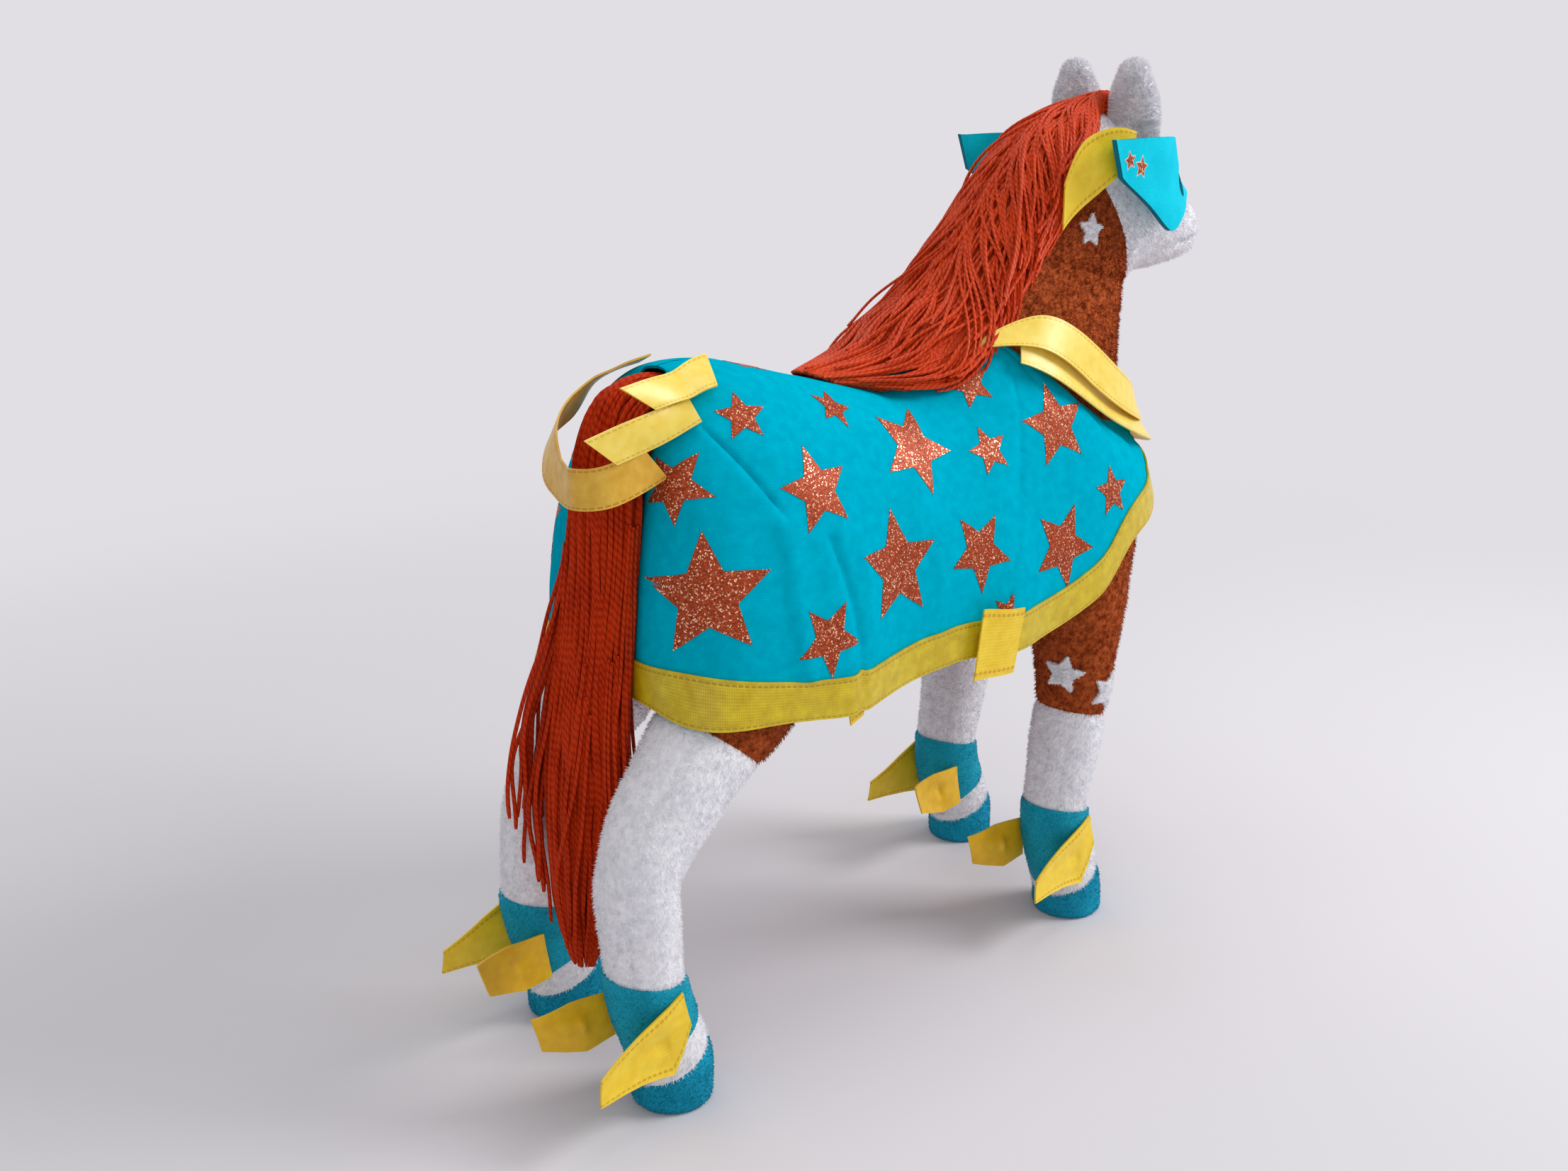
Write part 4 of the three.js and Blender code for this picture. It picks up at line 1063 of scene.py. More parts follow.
class Look:
    """Every material of the horse."""

    bay = Finish(
        "bay_plush", (112, 40, 10), (186, 90, 44), settings=(("Scale", 480.0), ("Patches", 230.0)),
        depth=0.65, relief=1.2, shine=0.05,
    ).make()
    fleece = Finish(
        "white_fleece", (226, 225, 231), (248, 247, 250), settings=(("Scale", 420.0), ("Patches", 200.0)),
        relief=0.9, shine=0.1, worn=0.0,
    ).make()
    pink = Finish(
        "ear_lining", (222, 196, 194), (244, 224, 222), settings=(("Scale", 420.0),), shine=0.1,
    ).make()
    felt = Finish(
        "teal_felt", (6, 126, 156), (16, 162, 194), settings=(("Scale", 1300.0),), depth=0.35,
    ).make()
    cuff_felt = Finish(
        "cuff_felt", (8, 132, 158), (24, 170, 196), settings=(("Scale", 1300.0),), depth=0.35,
    ).make()
    cloth = Finish(
        "teal_cotton", (0, 160, 188), (0, 184, 212), Effect.WEAVE, (("Threads", 1.3),), 0.8, 0.1,
        shine=0.0, worn=0.0,
    ).make()
    hem = Finish(
        "gold_ribbon", (184, 150, 2), (224, 202, 30), Effect.WEAVE, (("Threads", 1.1),), 0.45, 0.25,
        shine=0.45, stitches=(176, 142, 14),
    ).make()
    lemon = Finish(
        "lemon_satin", (240, 202, 56), (252, 230, 112), Effect.WEAVE, (("Threads", 1.6),), 0.38, 0.12,
        shine=0.5, stitches=(222, 180, 52), inset=1.2, coat=0.1,
    ).make()
    wing = Finish(
        "golden_ribbon", (238, 192, 12), (253, 224, 62), Effect.WEAVE, (("Threads", 1.3),), 0.42, 0.15,
        shine=0.45, stitches=(216, 166, 20), inset=1.4,
    ).make()
    plain_gold = Finish(
        "plain_gold_ribbon", (226, 168, 8), (246, 200, 30), Effect.WEAVE, (("Threads", 1.3),), 0.45, 0.15,
        shine=0.4,
    ).make()
    # Painted shade: a darker copy of the lemon satin, standing in for the shade on the loop round the tail.
    inner_gold = Finish(
        "golden_satin_inside", (214, 156, 26), (242, 198, 76), Effect.WEAVE, (("Threads", 1.6),), 0.4, 0.12,
        shine=0.45, stitches=(196, 140, 30), inset=1.0,
    ).make()
    foam = Finish(
        "teal_foam", (0, 184, 210), (4, 210, 232), settings=(("Scale", 1600.0),), roughness=0.7, depth=0.2,
        shine=0.05, worn=0.0,
    ).make()
    foam_edge = Finish(
        "foam_cut_edge", (2, 104, 128), (10, 138, 160), settings=(("Scale", 2200.0),), depth=0.6, worn=0.0,
    ).make()
    tail_yarn = Finish(
        "tail_yarn", (146, 24, 0), (204, 56, 8), Effect.PLIES, (("Pitch", 3.2),), 0.75, 0.2,
        shine=0.1, worn=0.0,
    ).make()
    mane_yarn = Finish(
        "mane_yarn", (162, 30, 0), (222, 72, 14), Effect.PLIES, (("Pitch", 3.0),), 0.65, 0.2,
        shine=0.25, worn=0.0,
    ).make()
    copper = Finish(
        "copper_glitter", (122, 32, 0), (186, 76, 28), Effect.GLITTER, (("Scale", 1900.0),),
        roughness=0.45, depth=0.4, metal=0.3, shine=0.3, worn=0.0,
    ).make()
    star_rim = Finish("pale_star_rim", (226, 200, 176), (244, 226, 206), depth=0.1, worn=0.0).make()
    eye = Finish(
        "gloss_eye", (8, 6, 6), (20, 15, 12), roughness=0.14, depth=0.02, coat=1.0, shine=0.5, worn=0.0,
    ).make()
    steel = Finish(
        "wire_steel", (120, 124, 128), (170, 174, 178), settings=(("Scale", 2500.0),),
        roughness=0.42, depth=0.05, metal=1.0, shine=0.5,
    ).make()


def add_piece(
    name: str,
    shells: Sequence[Shell],
    finishes: Sequence[Material],
    body: str,
    nodes: Sequence[str] = (),
    bends: bool = False,
) -> bpy.types.Object:
    """Makes a piece, attaches it to its body unless it bends, and hides the nodes that it replaces.

    Args:
        name: The piece's name.
        shells: Its surfaces, in millimetres.
        finishes: Its materials; a surface's finish number picks one.
        body: The body that it moves with.
        nodes: The nodes that it replaces.
        bends: Whether it passes along the neck from the body to the head.

    Returns:
        The new object.
    """
    piece = make_piece(name, shells, finishes)
    if bends:
        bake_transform(piece)
    else:
        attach(piece, body)
    if nodes:
        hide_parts(*nodes)
    log.info("%s: %d faces on %s", piece.name, len(piece.data.polygons), body)
    return piece


def give_second_finish(piece: bpy.types.Object, chosen: Array) -> None:
    """Gives the chosen ones of a piece's first faces its second finish, and the rest its first."""
    slots = np.zeros(len(piece.data.polygons), np.int32)
    slots[: len(chosen)][chosen] = 1
    piece.data.polygons.foreach_set("material_index", slots)


def add_plush(
    name: str,
    grid: Array,
    pile: Pile,
    finish: Material,
    body: str,
    slot: Slot,
    node: str,
    fill: float,
    bends: bool = False,
) -> None:
    """Makes a stuffed piece: a skin closed at both ends, with its pile. The body, node and bends are
    add_piece's; the slot and the fill are not used.
    """
    skin = grid_shell(grid, around=True, closed=True)
    add_piece(name, [skin, pile.on(skin)], [finish], body, [node], bends)


def add_star(name: str, plate: Shell, tufts: int, seed: int, body: str) -> None:
    """Makes a white star of short fleece, which replaces the node of its name."""
    pile = Pile(tufts, 1.0, NO_LEAN, seed)
    add_piece(f"{name}_felt", [plate, pile.on(plate)], [Look.fleece], body, [name])


def add_ribbon(
    name: str,
    grid: Array,
    outward: Array,
    finish: Material,
    body: str,
    node: str,
    thickness: float = 0.8,
) -> bpy.types.Object:
    """Makes a ribbon from the grid of its inner side, which replaces a node."""
    shell = sheet_shell(grid, thickness, outward, ribbon_map(grid))
    return add_piece(name, [shell], [finish], body, [node])


# Body, neck and head

TORSO = StuffedForm(
    (
        (-118, 281, -118, 196, 0, 33), (-106, 287, -108, 178, 0, 44), (-84, 283.5, -84, 166, 0, 50),
        (-50, 275, -50, 159, 0, 51), (-10, 267, -10, 156, 0, 50), (35, 266, 35, 155, 0, 50),
        (80, 266, 80, 158, 0, 49), (112, 260, 115, 168, 0, 44), (134, 246, 136, 186, 0, 33),
    ),
    first_dome=0.3,
    last_dome=0.5,
    power=2.3,
    seed=3,
)
NECK = StuffedForm(
    (
        (-24, 262, 138, 208, 0, 45), (3, 279, 146, 238, 0, 41), (22, 294, 150, 262, 0, 37),
        (39, 308, 153, 283, 0, 32), (54, 323, 156, 301, 0, 28.5), (72, 344, 160, 304.5, 0, 26.5),
        (91, 363, 163, 306, 0, 26.5), (112, 376, 166, 307, 0, 27), (136, 379, 171, 307.5, 0, 27),
        (160, 370, 180, 308, 0, 25.5), (180, 355, 190, 309, 0, 22), (194, 342, 199, 311, 0, 19.5),
    ),
    last_dome=0.8,
    seed=5,
)
HEAD_JOINT = Plane((104.5, 0, 312), (0.211, 0, 0.977))
FACE_SEAM = Plane((124, 0, 342.5), (67, 0, 48))


@dataclass
class Trunk:
    """The stuffed barrel, the neck that bends into the head, and the two-coloured head."""

    mouth_height: float = 320.0
    mouth_depth: float = 2.4
    nostril: Corner = (207.5, 9.5, 332.0)
    nostril_depth: float = 1.8
    chin_depth: float = 1.2
    forehead: Corner = (152, 0, 378.0)
    forehead_height: float = 2.2
    face_heart: Corner = (170, 0, 335.0)
    pile: float = 1.7
    fill: float = 0.85

    def muzzle(self, points: Array) -> Array:
        """The face with its mouth seam, chin, nostrils and forehead.

        A point moves along its normal by forehead - mouth * bell(height over the mouth line) - nostrils.
        """
        x, y, z = np.moveaxis(points, -1, 0)
        normals = facing(grid_normals(points, around=True), points - np.array(self.face_heart))
        line = self.mouth_height + 0.12 * (x - 195) + 1.2 * bell(y, 9)
        mouth = self.mouth_depth * bell(z - line, 1.5) * smooth(x, 174, 190)
        chin = self.chin_depth * bell(z - line + 5, 4) * smooth(x, 180, 196)
        spread = np.stack([x, np.abs(y), z], axis=-1) - np.array(self.nostril)
        nostrils = self.nostril_depth * bell(np.linalg.norm(spread, axis=-1), 3.0)
        over = np.linalg.norm(points - np.array(self.forehead), axis=-1)
        forehead = self.forehead_height * bell(over, 15)
        return points + normals * (chin + forehead - mouth - nostrils)[..., None]

    def build(self) -> None:
        """Builds the torso, the neck and both parts of the head."""
        bay = (Look.bay, "body", Slot.BAY)
        grid = TORSO.trimmed(64, 72)
        add_plush("torso_plush", grid, Pile(8000, self.pile, (-0.5, 0, -0.4), 11), *bay, "torso", self.fill)
        grid = NECK.trimmed(60, 72, end=HEAD_JOINT, tuck=0.6, seams=(0.0, np.pi))
        pile = Pile(30000, self.pile, (-0.4, 0, -0.5), 12)
        add_plush("neck_plush", grid, pile, *bay, "neck", self.fill, bends=True)
        grid = NECK.trimmed(40, 88, HEAD_JOINT, FACE_SEAM, tuck=0.8)
        pile = Pile(17000, self.pile, (-0.5, 0, -0.3), 13)
        add_plush("crown_plush", grid, pile, Look.bay, "head", Slot.BAY, "head_crown", self.fill)
        grid = self.muzzle(NECK.trimmed(84, 96, FACE_SEAM, tuck=0.8))
        pile = Pile(20000, 1.9, (-0.3, 0, -0.4), 14)
        add_plush("face_fleece", grid, pile, Look.fleece, "head", Slot.FLEECE, "head_face", self.fill)


@dataclass
class Face:
    """The eyes, the ears and the small marks of the head."""

    eye_place: Corner = (163, 24, 349)
    eye_radius: float = 4.9
    ear_pivot: Corner = (150, 17, 368)
    ear_height: float = 37
    ear_half_width: float = 12
    ear_half_depth: float = 8.5
    ear_fill: float = 0.6
    dish: float = 4.0
    dish_height: float = 17
    cheek_star: float = 7.5
    cheek_place: Corner = (108, -27, 330)

    def eye(self, side: Side) -> None:
        """A glossy round eye."""
        middle = np.array(self.eye_place) * np.array([1, side.value, 1])
        shell = ball(middle, self.eye_radius, 20, 32, 0.02)
        add_piece(f"eye_gloss_{side.word}", [shell], [Look.eye], "head", [f"eye_{side.word}"])

    def ear(self, side: Side) -> None:
        """A pointed fleece ear, dished in front, with pile all over it.

        The front is drawn back by dish * bell(y from the middle) * bell(z from the middle).
        """
        x, y, z = self.ear_pivot
        place, deep, wide, high = side.value * y, self.ear_half_depth, self.ear_half_width, self.ear_height
        rows = [
            [x - deep, z, x + deep, z, place, wide - 2.5],
            [x - deep - 0.7, z + high * 0.3, x + deep - 0.7, z + high * 0.3, place, wide - 0.5],
            [x - deep - 1.5, z + high * 0.6, x + deep - 2.5, z + high * 0.6, place, wide - 1.5],
            [x - deep, z + high * 0.85, x + deep - 7, z + high * 0.85, place, wide - 5.5],
        ]
        form = StuffedForm(rows, 0.85, 0.9, lump=0.5, lump_size=9, seed=21)
        grid = form.trimmed(48, 56)
        front = smooth(grid[..., 0], x - 2, x + 6)
        middle = bell(grid[..., 1] - place, 6) * bell(grid[..., 2] - (z + self.dish_height), 15)
        grid[..., 0] -= self.dish * front * middle
        shell = grid_shell(grid, around=True, closed=True)
        lined = front.reshape(-1)[shell.quads[:, 0]] > 0.9
        shells = [shell, Pile(12000, 1.8, (0, 0, 0.3), 22).on(shell)]
        name, node, finishes = f"ear_fleece_{side.word}", f"ear_{side.word}", [Look.fleece, Look.pink]
        piece = add_piece(name, shells, finishes, node, [node])
        give_second_finish(piece, lined)

    def cheek(self, side: Side) -> None:
        """A white star sewn on the cheek."""
        star = Star(tuple(side.of(np.array(self.cheek_place))), self.cheek_star, 8, 0.5)
        limits = [[0.35, 0.8], [0.1, 0.45] if side is Side.LEFT else [0.55, 0.9]]
        plate = star.laid(NECK.surface, side.outward, 1.2, limits)
        add_star(f"cheek_star_{side.word}", plate, 1500, 31, "head")

    def build(self) -> None:
        """Builds both sides."""
        for side in Side:
            self.eye(side)
            self.ear(side)
            self.cheek(side)


# Legs


@dataclass
class LegPair:
    """Two stuffed legs with felt hooves, felt cuffs and ribbon wings. The stations are the right leg's."""

    name: str
    upper: str
    lower: str
    stations: Stations
    hooves: dict[Side, tuple[float, float]]
    seam: Plane
    hock: float = 0.0
    stance_top: float = 205
    stance_foot: float = 92
    fill: float = 0.8
    hoof_fill: float = 0.9
    hoof_height: float = 19
    hoof_slope: Corner = (0.42, 0, -1)
    cuff_behind: float = 13
    cuff_top: float = 59
    cuff_low: float = 29
    cuff_outside: float = 2.3
    cuff_inside: float = 0.6
    wing_curl: float = 3.2
    tack_share: float = 0.45
    tack_depth: float = 1.3

    def stance(self, z: Array) -> Array:
        """How much of its own stance a leg has at a height."""
        return smooth(self.stance_top - z, 0, self.stance_top - self.stance_foot)

    def shift(self, z: Array, side: Side) -> Array:
        """How far forward of the right leg's place a leg stands at a height."""
        ahead = (self.hooves[side][0] - self.hooves[Side.RIGHT][0]) * self.stance(z)
        return ahead + (self.hock if side is Side.LEFT else 0) * bell(z - 118, 34)

    def form(self, side: Side) -> StuffedForm:
        """One leg's own form."""
        rows = np.array(self.stations, float)
        middle = (rows[:, 1] + rows[:, 3]) / 2
        outward = abs(self.hooves[side][1]) - abs(self.hooves[Side.RIGHT][1])
        rows[:, [0, 2]] += self.shift(middle, side)[:, None]
        rows[:, 4] = side.value * (np.abs(rows[:, 4]) + outward * self.stance(middle))
        return StuffedForm(rows, lump=0.9, lump_size=15, seed=41 + side.value)

    def leg(self, side: Side) -> None:
        """The brown upper leg, the white lower leg and the hoof."""
        form = self.form(side)
        point = np.array(self.seam.point, float)
        seam = Plane((point[0] + float(self.shift(point[2], side)), 0, point[2]), self.seam.normal)
        hoof = Plane((self.hooves[side][0], 0, self.hoof_height), self.hoof_slope)
        tag = f"{self.name}_{side.word}"
        grid = form.trimmed(44, 64, end=seam, tuck=1.2)
        pile = Pile(11000, 1.7, (-0.2, 0, -0.8), 51)
        name, node = f"{self.upper}_plush_{side.word}", f"{self.upper}_{side.word}"
        add_plush(name, grid, pile, Look.bay, "body", Slot.BAY, node, self.fill)
        grid = form.trimmed(56, 72, seam, hoof, tuck=1.1, seams=(np.pi + 0.7, np.pi - 0.7, 0.0))
        pile = Pile(19500, 1.5, (0, 0, -0.8), 52)
        name, node = f"{self.lower}_fleece_{side.word}", f"{self.lower}_{side.word}"
        add_plush(name, grid, pile, Look.fleece, "body", Slot.FLEECE, node, self.fill)
        grid = form.trimmed(36, 72, hoof, grow=0.6, tuck=1.0, seams=(0.0, np.pi))
        grid[..., 2] = np.maximum(grid[..., 2], 0)
        pile = Pile(5000, 0.7, NO_LEAN, 53)
        add_plush(f"hoof_felt_{tag}", grid, pile, Look.felt, "body", Slot.FELT, f"hoof_{tag}", self.hoof_fill)

    def cuff(self, side: Side) -> None:
        """The felt cuff: a tube round the fetlock with a long back edge and a lapped seam."""
        form = replace(self.form(side), lump=0.5)
        x = self.hooves[side][0] - self.cuff_behind
        top = Plane((x, 0, self.cuff_top), (-0.18, 0, -1))
        low = Plane((x, 0, self.cuff_low), (0.5, 0, -1))
        seam = (np.pi - side.value * 0.8,)
        outer = form.trimmed(30, 80, top, low, self.cuff_outside, tuck=0.5, drop=0.03, seams=seam)
        inner = form.trimmed(30, 80, top, low, self.cuff_inside, tuck=0.1, drop=0.03)
        tube = grid_shell(np.concatenate([outer, inner[::-1]]), around=True, looped=True)
        shells = [tube, Pile(5000, 0.6, NO_LEAN, 54).on(tube)]
        tag = f"{self.name}_{side.word}"
        add_piece(f"cuff_felt_{tag}", shells, [Look.cuff_felt], "body", [f"cuff_{tag}"])

    def wing(self, side: Side, place: str) -> None:
        """A ribbon wing on one side of a cuff, tacked in its middle and curling out at its tip.

        y = seat + outward * (curl * run^2.2 + waves - dimple at the tack + creases), with run from 0 to 1.
        """
        name = f"wing_{self.name}_{side.word}_{place}"
        low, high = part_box(name)
        seat = (low[1] + high[1]) / 2 / MM
        outward = np.sign(seat - self.hooves[side][1])
        grid = bolt(WINGS[place], 0, 48, 16, crisp=True)
        run, across = shares((0, 1, 49), (-1, 1, 17))
        tack = bell(run - self.tack_share, 0.07) * bell(across, 0.35)
        creases = 0.35 * np.sin(across * 7) * bell(run - self.tack_share, 0.16)
        wave = 0.5 * np.sin(run * 7 + across) + 0.5 * across**2
        curl = self.wing_curl * run**2.2 + wave - self.tack_depth * tack + creases
        grid[..., 0] += self.hooves[side][0]
        grid[..., 1] = seat + outward * (curl - 0.4)
        finish = Look.wing if place == "outer" else Look.plain_gold
        add_ribbon(f"{name}_ribbon", grid, outward * LEFTWARD, finish, "body", name, 0.85)

    def build(self) -> None:
        """Builds both legs with all that they wear."""
        for side in Side:
            self.leg(side)
            self.cuff(side)
            self.wing(side, "outer")
            self.wing(side, "inner")


WINGS = {
    "outer": (
        (-7, 56, -3.5, 41), (-12, 54, -8, 30), (-18, 51.5, -12, 22), (-30, 46, -26, 24.3),
        (-40, 40.7, -38, 25), (-49, 36, -50, 25),
    ),
    "inner": (
        (-20, 48, -17, 27), (-29, 48.5, -24, 26), (-38, 49, -31, 25), (-47, 48, -41, 28), (-55, 47, -50, 31),
    ),
}
HIND_LEGS = LegPair(
    "hind",
    "thigh",
    "shank",
    (
        (-126, 216, -56, 198, -31, 25), (-131, 192, -68, 170, -35.5, 25), (-141, 172, -94, 147, -38.5, 23.5),
        (-152, 158, -119, 131, -40, 21.5), (-165, 143, -137, 117, -41.5, 19),
        (-178, 124, -150, 103, -42.5, 17), (-184.5, 104, -154.5, 97, -43, 16),
        (-184, 84, -154, 84, -43, 15.3), (-182, 60, -153, 62, -43, 14.8), (-178.5, 42, -150, 47, -43, 14.2),
        (-173.5, 26, -144.5, 34, -43.2, 14), (-171, 10, -139, 20, -43.4, 15.2),
        (-170.2, 2.5, -139, 4, -43.4, 15.6), (-168.8, 0, -140.4, 0, -43.4, 14.4),
    ),
    {Side.RIGHT: (-154.6, -43.4), Side.LEFT: (-147.6, 42.4)},
    Plane((-137, 0, 153.5), (-27, 0, -34)),
    hock=8,
)
FORE_LEGS = LegPair(
    "fore",
    "forearm",
    "cannon",
    (
        (60, 216, 136, 208, -31, 24), (62, 192, 130, 187, -36, 23.5), (65, 170, 121, 166, -40, 22),
        (70, 148, 115, 146, -42, 19.8), (75, 127, 109.5, 127, -43, 18), (75.8, 108, 105, 108, -43.5, 16.5),
        (72.5, 90, 103, 92, -43.6, 16), (70.5, 73, 99.5, 75, -43.6, 15), (69, 58, 96.5, 61, -43.6, 14.3),
        (69.5, 42, 97.5, 47, -43.6, 13.8), (74, 25, 103.5, 34, -43.6, 14), (78.3, 10, 110, 20, -43.6, 15.2),
        (79.5, 2.5, 110.7, 4, -43.6, 15.6), (80.4, 0, 109.8, 0, -43.6, 14.4),
    ),
    {Side.RIGHT: (95.1, -43.6), Side.LEFT: (118.5, 51)},
    Plane((90, 0, 107), (-0.2, 0, -1)),
)


@dataclass
class KneeStars:
    """Two white stars on each foreleg."""

    radius: float = 9.5
    knee: float = 91.5
    knee_height: float = 124.0
    aside: float = 44
    reach: float = 17

    def build(self) -> None:
        """Builds all four."""
        for side in Side:
            form = FORE_LEGS.form(side)
            knee = self.knee + float(FORE_LEGS.shift(self.knee_height, side))
            rear, outer = ("rear", 129, 180 - 24 * side.value, 12), ("outer", 119, 80 * side.value, 25)
            for place, z, azimuth, turn in (rear, outer):
                way = np.array([math.cos(math.radians(azimuth)), math.sin(math.radians(azimuth)), 0])
                middle = np.array([knee, self.aside * side.value, z]) + way * self.reach
                star = Star(tuple(middle), self.radius, turn, 0.5)
                plate = star.laid(form.surface, way, 1.2, ((0.15, 0.6), (0.0, 1.0)))
                add_star(f"knee_star_{place}_{side.word}", plate, 1800, 61, "body")


# The blanket and its straps

# The share of the way from the back seam to the blanket's edge at which the hem ribbon begins.
HEM_SHARE = 11 / 12


@dataclass
class Blanket:
    """A cotton blanket in two halves that hang from a seam along the back, with ribbon hems and star prints.

    Each column of the right half goes from a top point to a hem point: [top x, y, z, hem x, y, z, fullness
    forward, fullness sideways].
    """

    clearance: float = 1.5
    thickness: float = 1.2
    hem_width: float = 16
    hem_gap: float = 0.25
    print_gap: float = 0.22
    rump_edge: float = -106
    columns: tuple = (
        (-121, 0.5, 288.5, -146, -13, 163, 1.8, 0.3), (-119.5, 0.5, 288.8, -151, -28, 165, 1.4, 0.62),
        (-117.5, 0.5, 289, -147, -46, 165, 1.1, 0.85), (-112, 0.5, 289.5, -132, -60, 162, 0.8, 0.9),
        (-98, 0.5, 288, -110, -65, 158, 0.7, 0.7), (-78, 0.5, 285, -80, -67, 155, 0.7, 0.7),
        (-50, 0.5, 277, -48, -65.5, 157, 0.7, 0.7), (-18, 0.5, 270, -14, -64.5, 160, 0.72, 0.72),
        (4, 0.5, 282, 18, -65, 158, 1, 1), (24, -17, 290, 52, -64, 162, 1.3, 1.3),
        (38, -29, 286, 80, -63, 172, 1.6, 1.6), (54, -38, 274, 104, -61, 190, 1.9, 1.9),
        (82, -44, 257, 128, -53, 198, 2, 2), (112, -42, 244, 148, -38, 205, 2, 2),
        (138, -27, 238, 159, -19, 211, 2, 2), (152, 0.5, 236, 163, 0.5, 214, 2, 2),
    )
    folds: tuple[Corner, ...] = ((4.9, 3.5, 0.45), (6.2, -2.5, 0.6), (8.1, 2.5, 0.4), (10, 2, 0.5))
    creases: tuple = (
        (1.5, 1.4, ((-126, -33, 271), (-118, -44, 258), (-105, -56.5, 237))),
        (-1.8, 5.0, ((-106, -57, 234), (-105, -61, 219), (-104.5, -64, 204), (-102, -67, 178.5))),
        (2.2, 2.6, ((-85, -61, 225), (-79, -65.5, 202), (-76, -68.5, 181), (-77, -71, 166), (-78, -72, 156))),
        (-1.2, 4.0, ((-70, -62, 222), (-68, -66, 200), (-67, -69, 180))),
        (1.1, 1.2, ((43.5, -39, 272), (34, -54, 233), (15, -66.5, 180))),
        (-0.9, 4.0, ((-28, -55, 230), (-36, -57, 222), (-44, -59, 214))),
        (-1.0, 5.0, ((-20, -62, 214), (-24, -65, 196), (-26, -67, 178))),
    )
    stars: dict[Side, tuple] = field(
        default_factory=lambda: {
            Side.RIGHT: (
                (-110, -35.5, 273, 11, 0), (-60, -34, 269, 10.5, -37), (-22, -44, 250, 21, 34),
                (21, -33, 269, 11.4, -20), (-88, -55, 244, 18, -6), (17.5, -49, 243, 11.3, -14),
                (60, -50, 250, 19.6, -6), (89.5, -60, 216, 12, 0), (-50, -61, 207, 23.8, 2),
                (1.5, -61.5, 204, 18, -32), (54, -62, 198, 20, -43), (-92.5, -67, 188, 16, -38),
                (-138.5, -52, 211, 25, -5), (-140, -32, 250, 15.2, 25), (-82, -4, 285, 10, 12),
                (13.5, -67, 176, 9, 30),
            ),
            Side.LEFT: (
                (-104, 34, 274, 12, -14), (-52, 36, 266, 11, 6), (-84, 56, 240, 20, 20),
                (-30, 50, 243, 17, -10), (20, 42, 256, 14, 16), (62, 51, 248, 17, -22),
                (98, 59, 216, 13, 12), (-60, 62, 204, 18, 4), (-8, 61, 205, 23, 24),
                (48, 62, 200, 18, 8), (-100, 66, 192, 17, -6), (-134, 54, 220, 22, 14),
                (-136, 34, 256, 12, -2),
            ),
        }
    )

    def __post_init__(self) -> None:
        """Drapes the right half over the body."""
        along = round_grid(0, 1, 110, 64)
        legs = [pair.form(Side.RIGHT).skin(*along)[:60] for pair in (HIND_LEGS, FORE_LEGS)]
        self.cloud = np.concatenate([body.reshape(-1, 3) for body in [*self.bodies(), *legs]])
        row = curve(self.columns, np.linspace(0, 1, 61))
        top = row[:, :3]
        hugging = laid_over(top, self.cloud, self.clearance, hug=True)
        top = np.where(top[:, :1] > self.rump_edge, hugging, laid_over(top, self.cloud, self.clearance))
        hem, ahead, aside = row[:, 3:6], row[:, 6:7], row[:, 7:8]
        hem_angle = np.arccos(self.hem_width / (top[:, 2] - hem[:, 2]))[:, None]
        angle = np.concatenate([hem_angle * np.arange(12) / 11, np.full((61, 1), np.pi / 2)], axis=1)
        x = top[:, :1] + (hem[:, :1] - top[:, :1]) * np.sin(angle) ** ahead
        y = top[:, 1:2] + (hem[:, 1:2] - top[:, 1:2]) * np.sin(angle) ** aside
        z = hem[:, 2:] + (top[:, 2:] - hem[:, 2:]) * np.cos(angle)
        grid = np.stack([x, y, z], axis=-1)
        place = np.linspace(0, 15, 61)[:, None]
        fold = sum(out * bell(place - at, width) for at, out, width in self.folds)
        away = unit((grid - heart_of(grid)) * np.array([1, 1, 0]))
        moved = grid + away * (fold * (1 - np.cos(angle)))[..., None]
        hung = laid_over(moved, self.cloud, self.clearance)
        rump = smooth(place, 5.2, 4.2)[..., None]
        self.control = hung + (eased(hung, 6) - hung) * rump
        self.control[:, 0] = top

    def surface(self, u: Array, v: Array) -> Array:
        """The inner side of the right half: u from tail to chest, v from the back seam to the hem's edge.

        The draped grid is read by cubics both ways. A point then moves out by -depth * bell(distance to each
        crease) and by small ripples.
        """
        points = read_grid(self.control, u, v)
        out = 0.35 * ripple(points * np.array([1, 1, 0.4]), 17, 71) * smooth(v, 0.1, 0.5) + 0.35
        for depth, width, path in self.creases:
            out = out - depth * bell(distance_to(points, path), width)
        points = points + unit(points - heart_of(points)) * out[..., None]
        return points - np.array([0, 1, 0]) * np.maximum(points[..., 1:2] + 0.2, 0)

    def bodies(self, grow: float = 0.0) -> list[Array]:
        """Points of the stuffed forms' skins, grown outwards: torso and neck."""
        along, angle = round_grid(0, 1, 110, 64)
        return [TORSO.skin(along * 2.98 - 0.99, angle, grow), NECK.skin(along, angle, grow)]

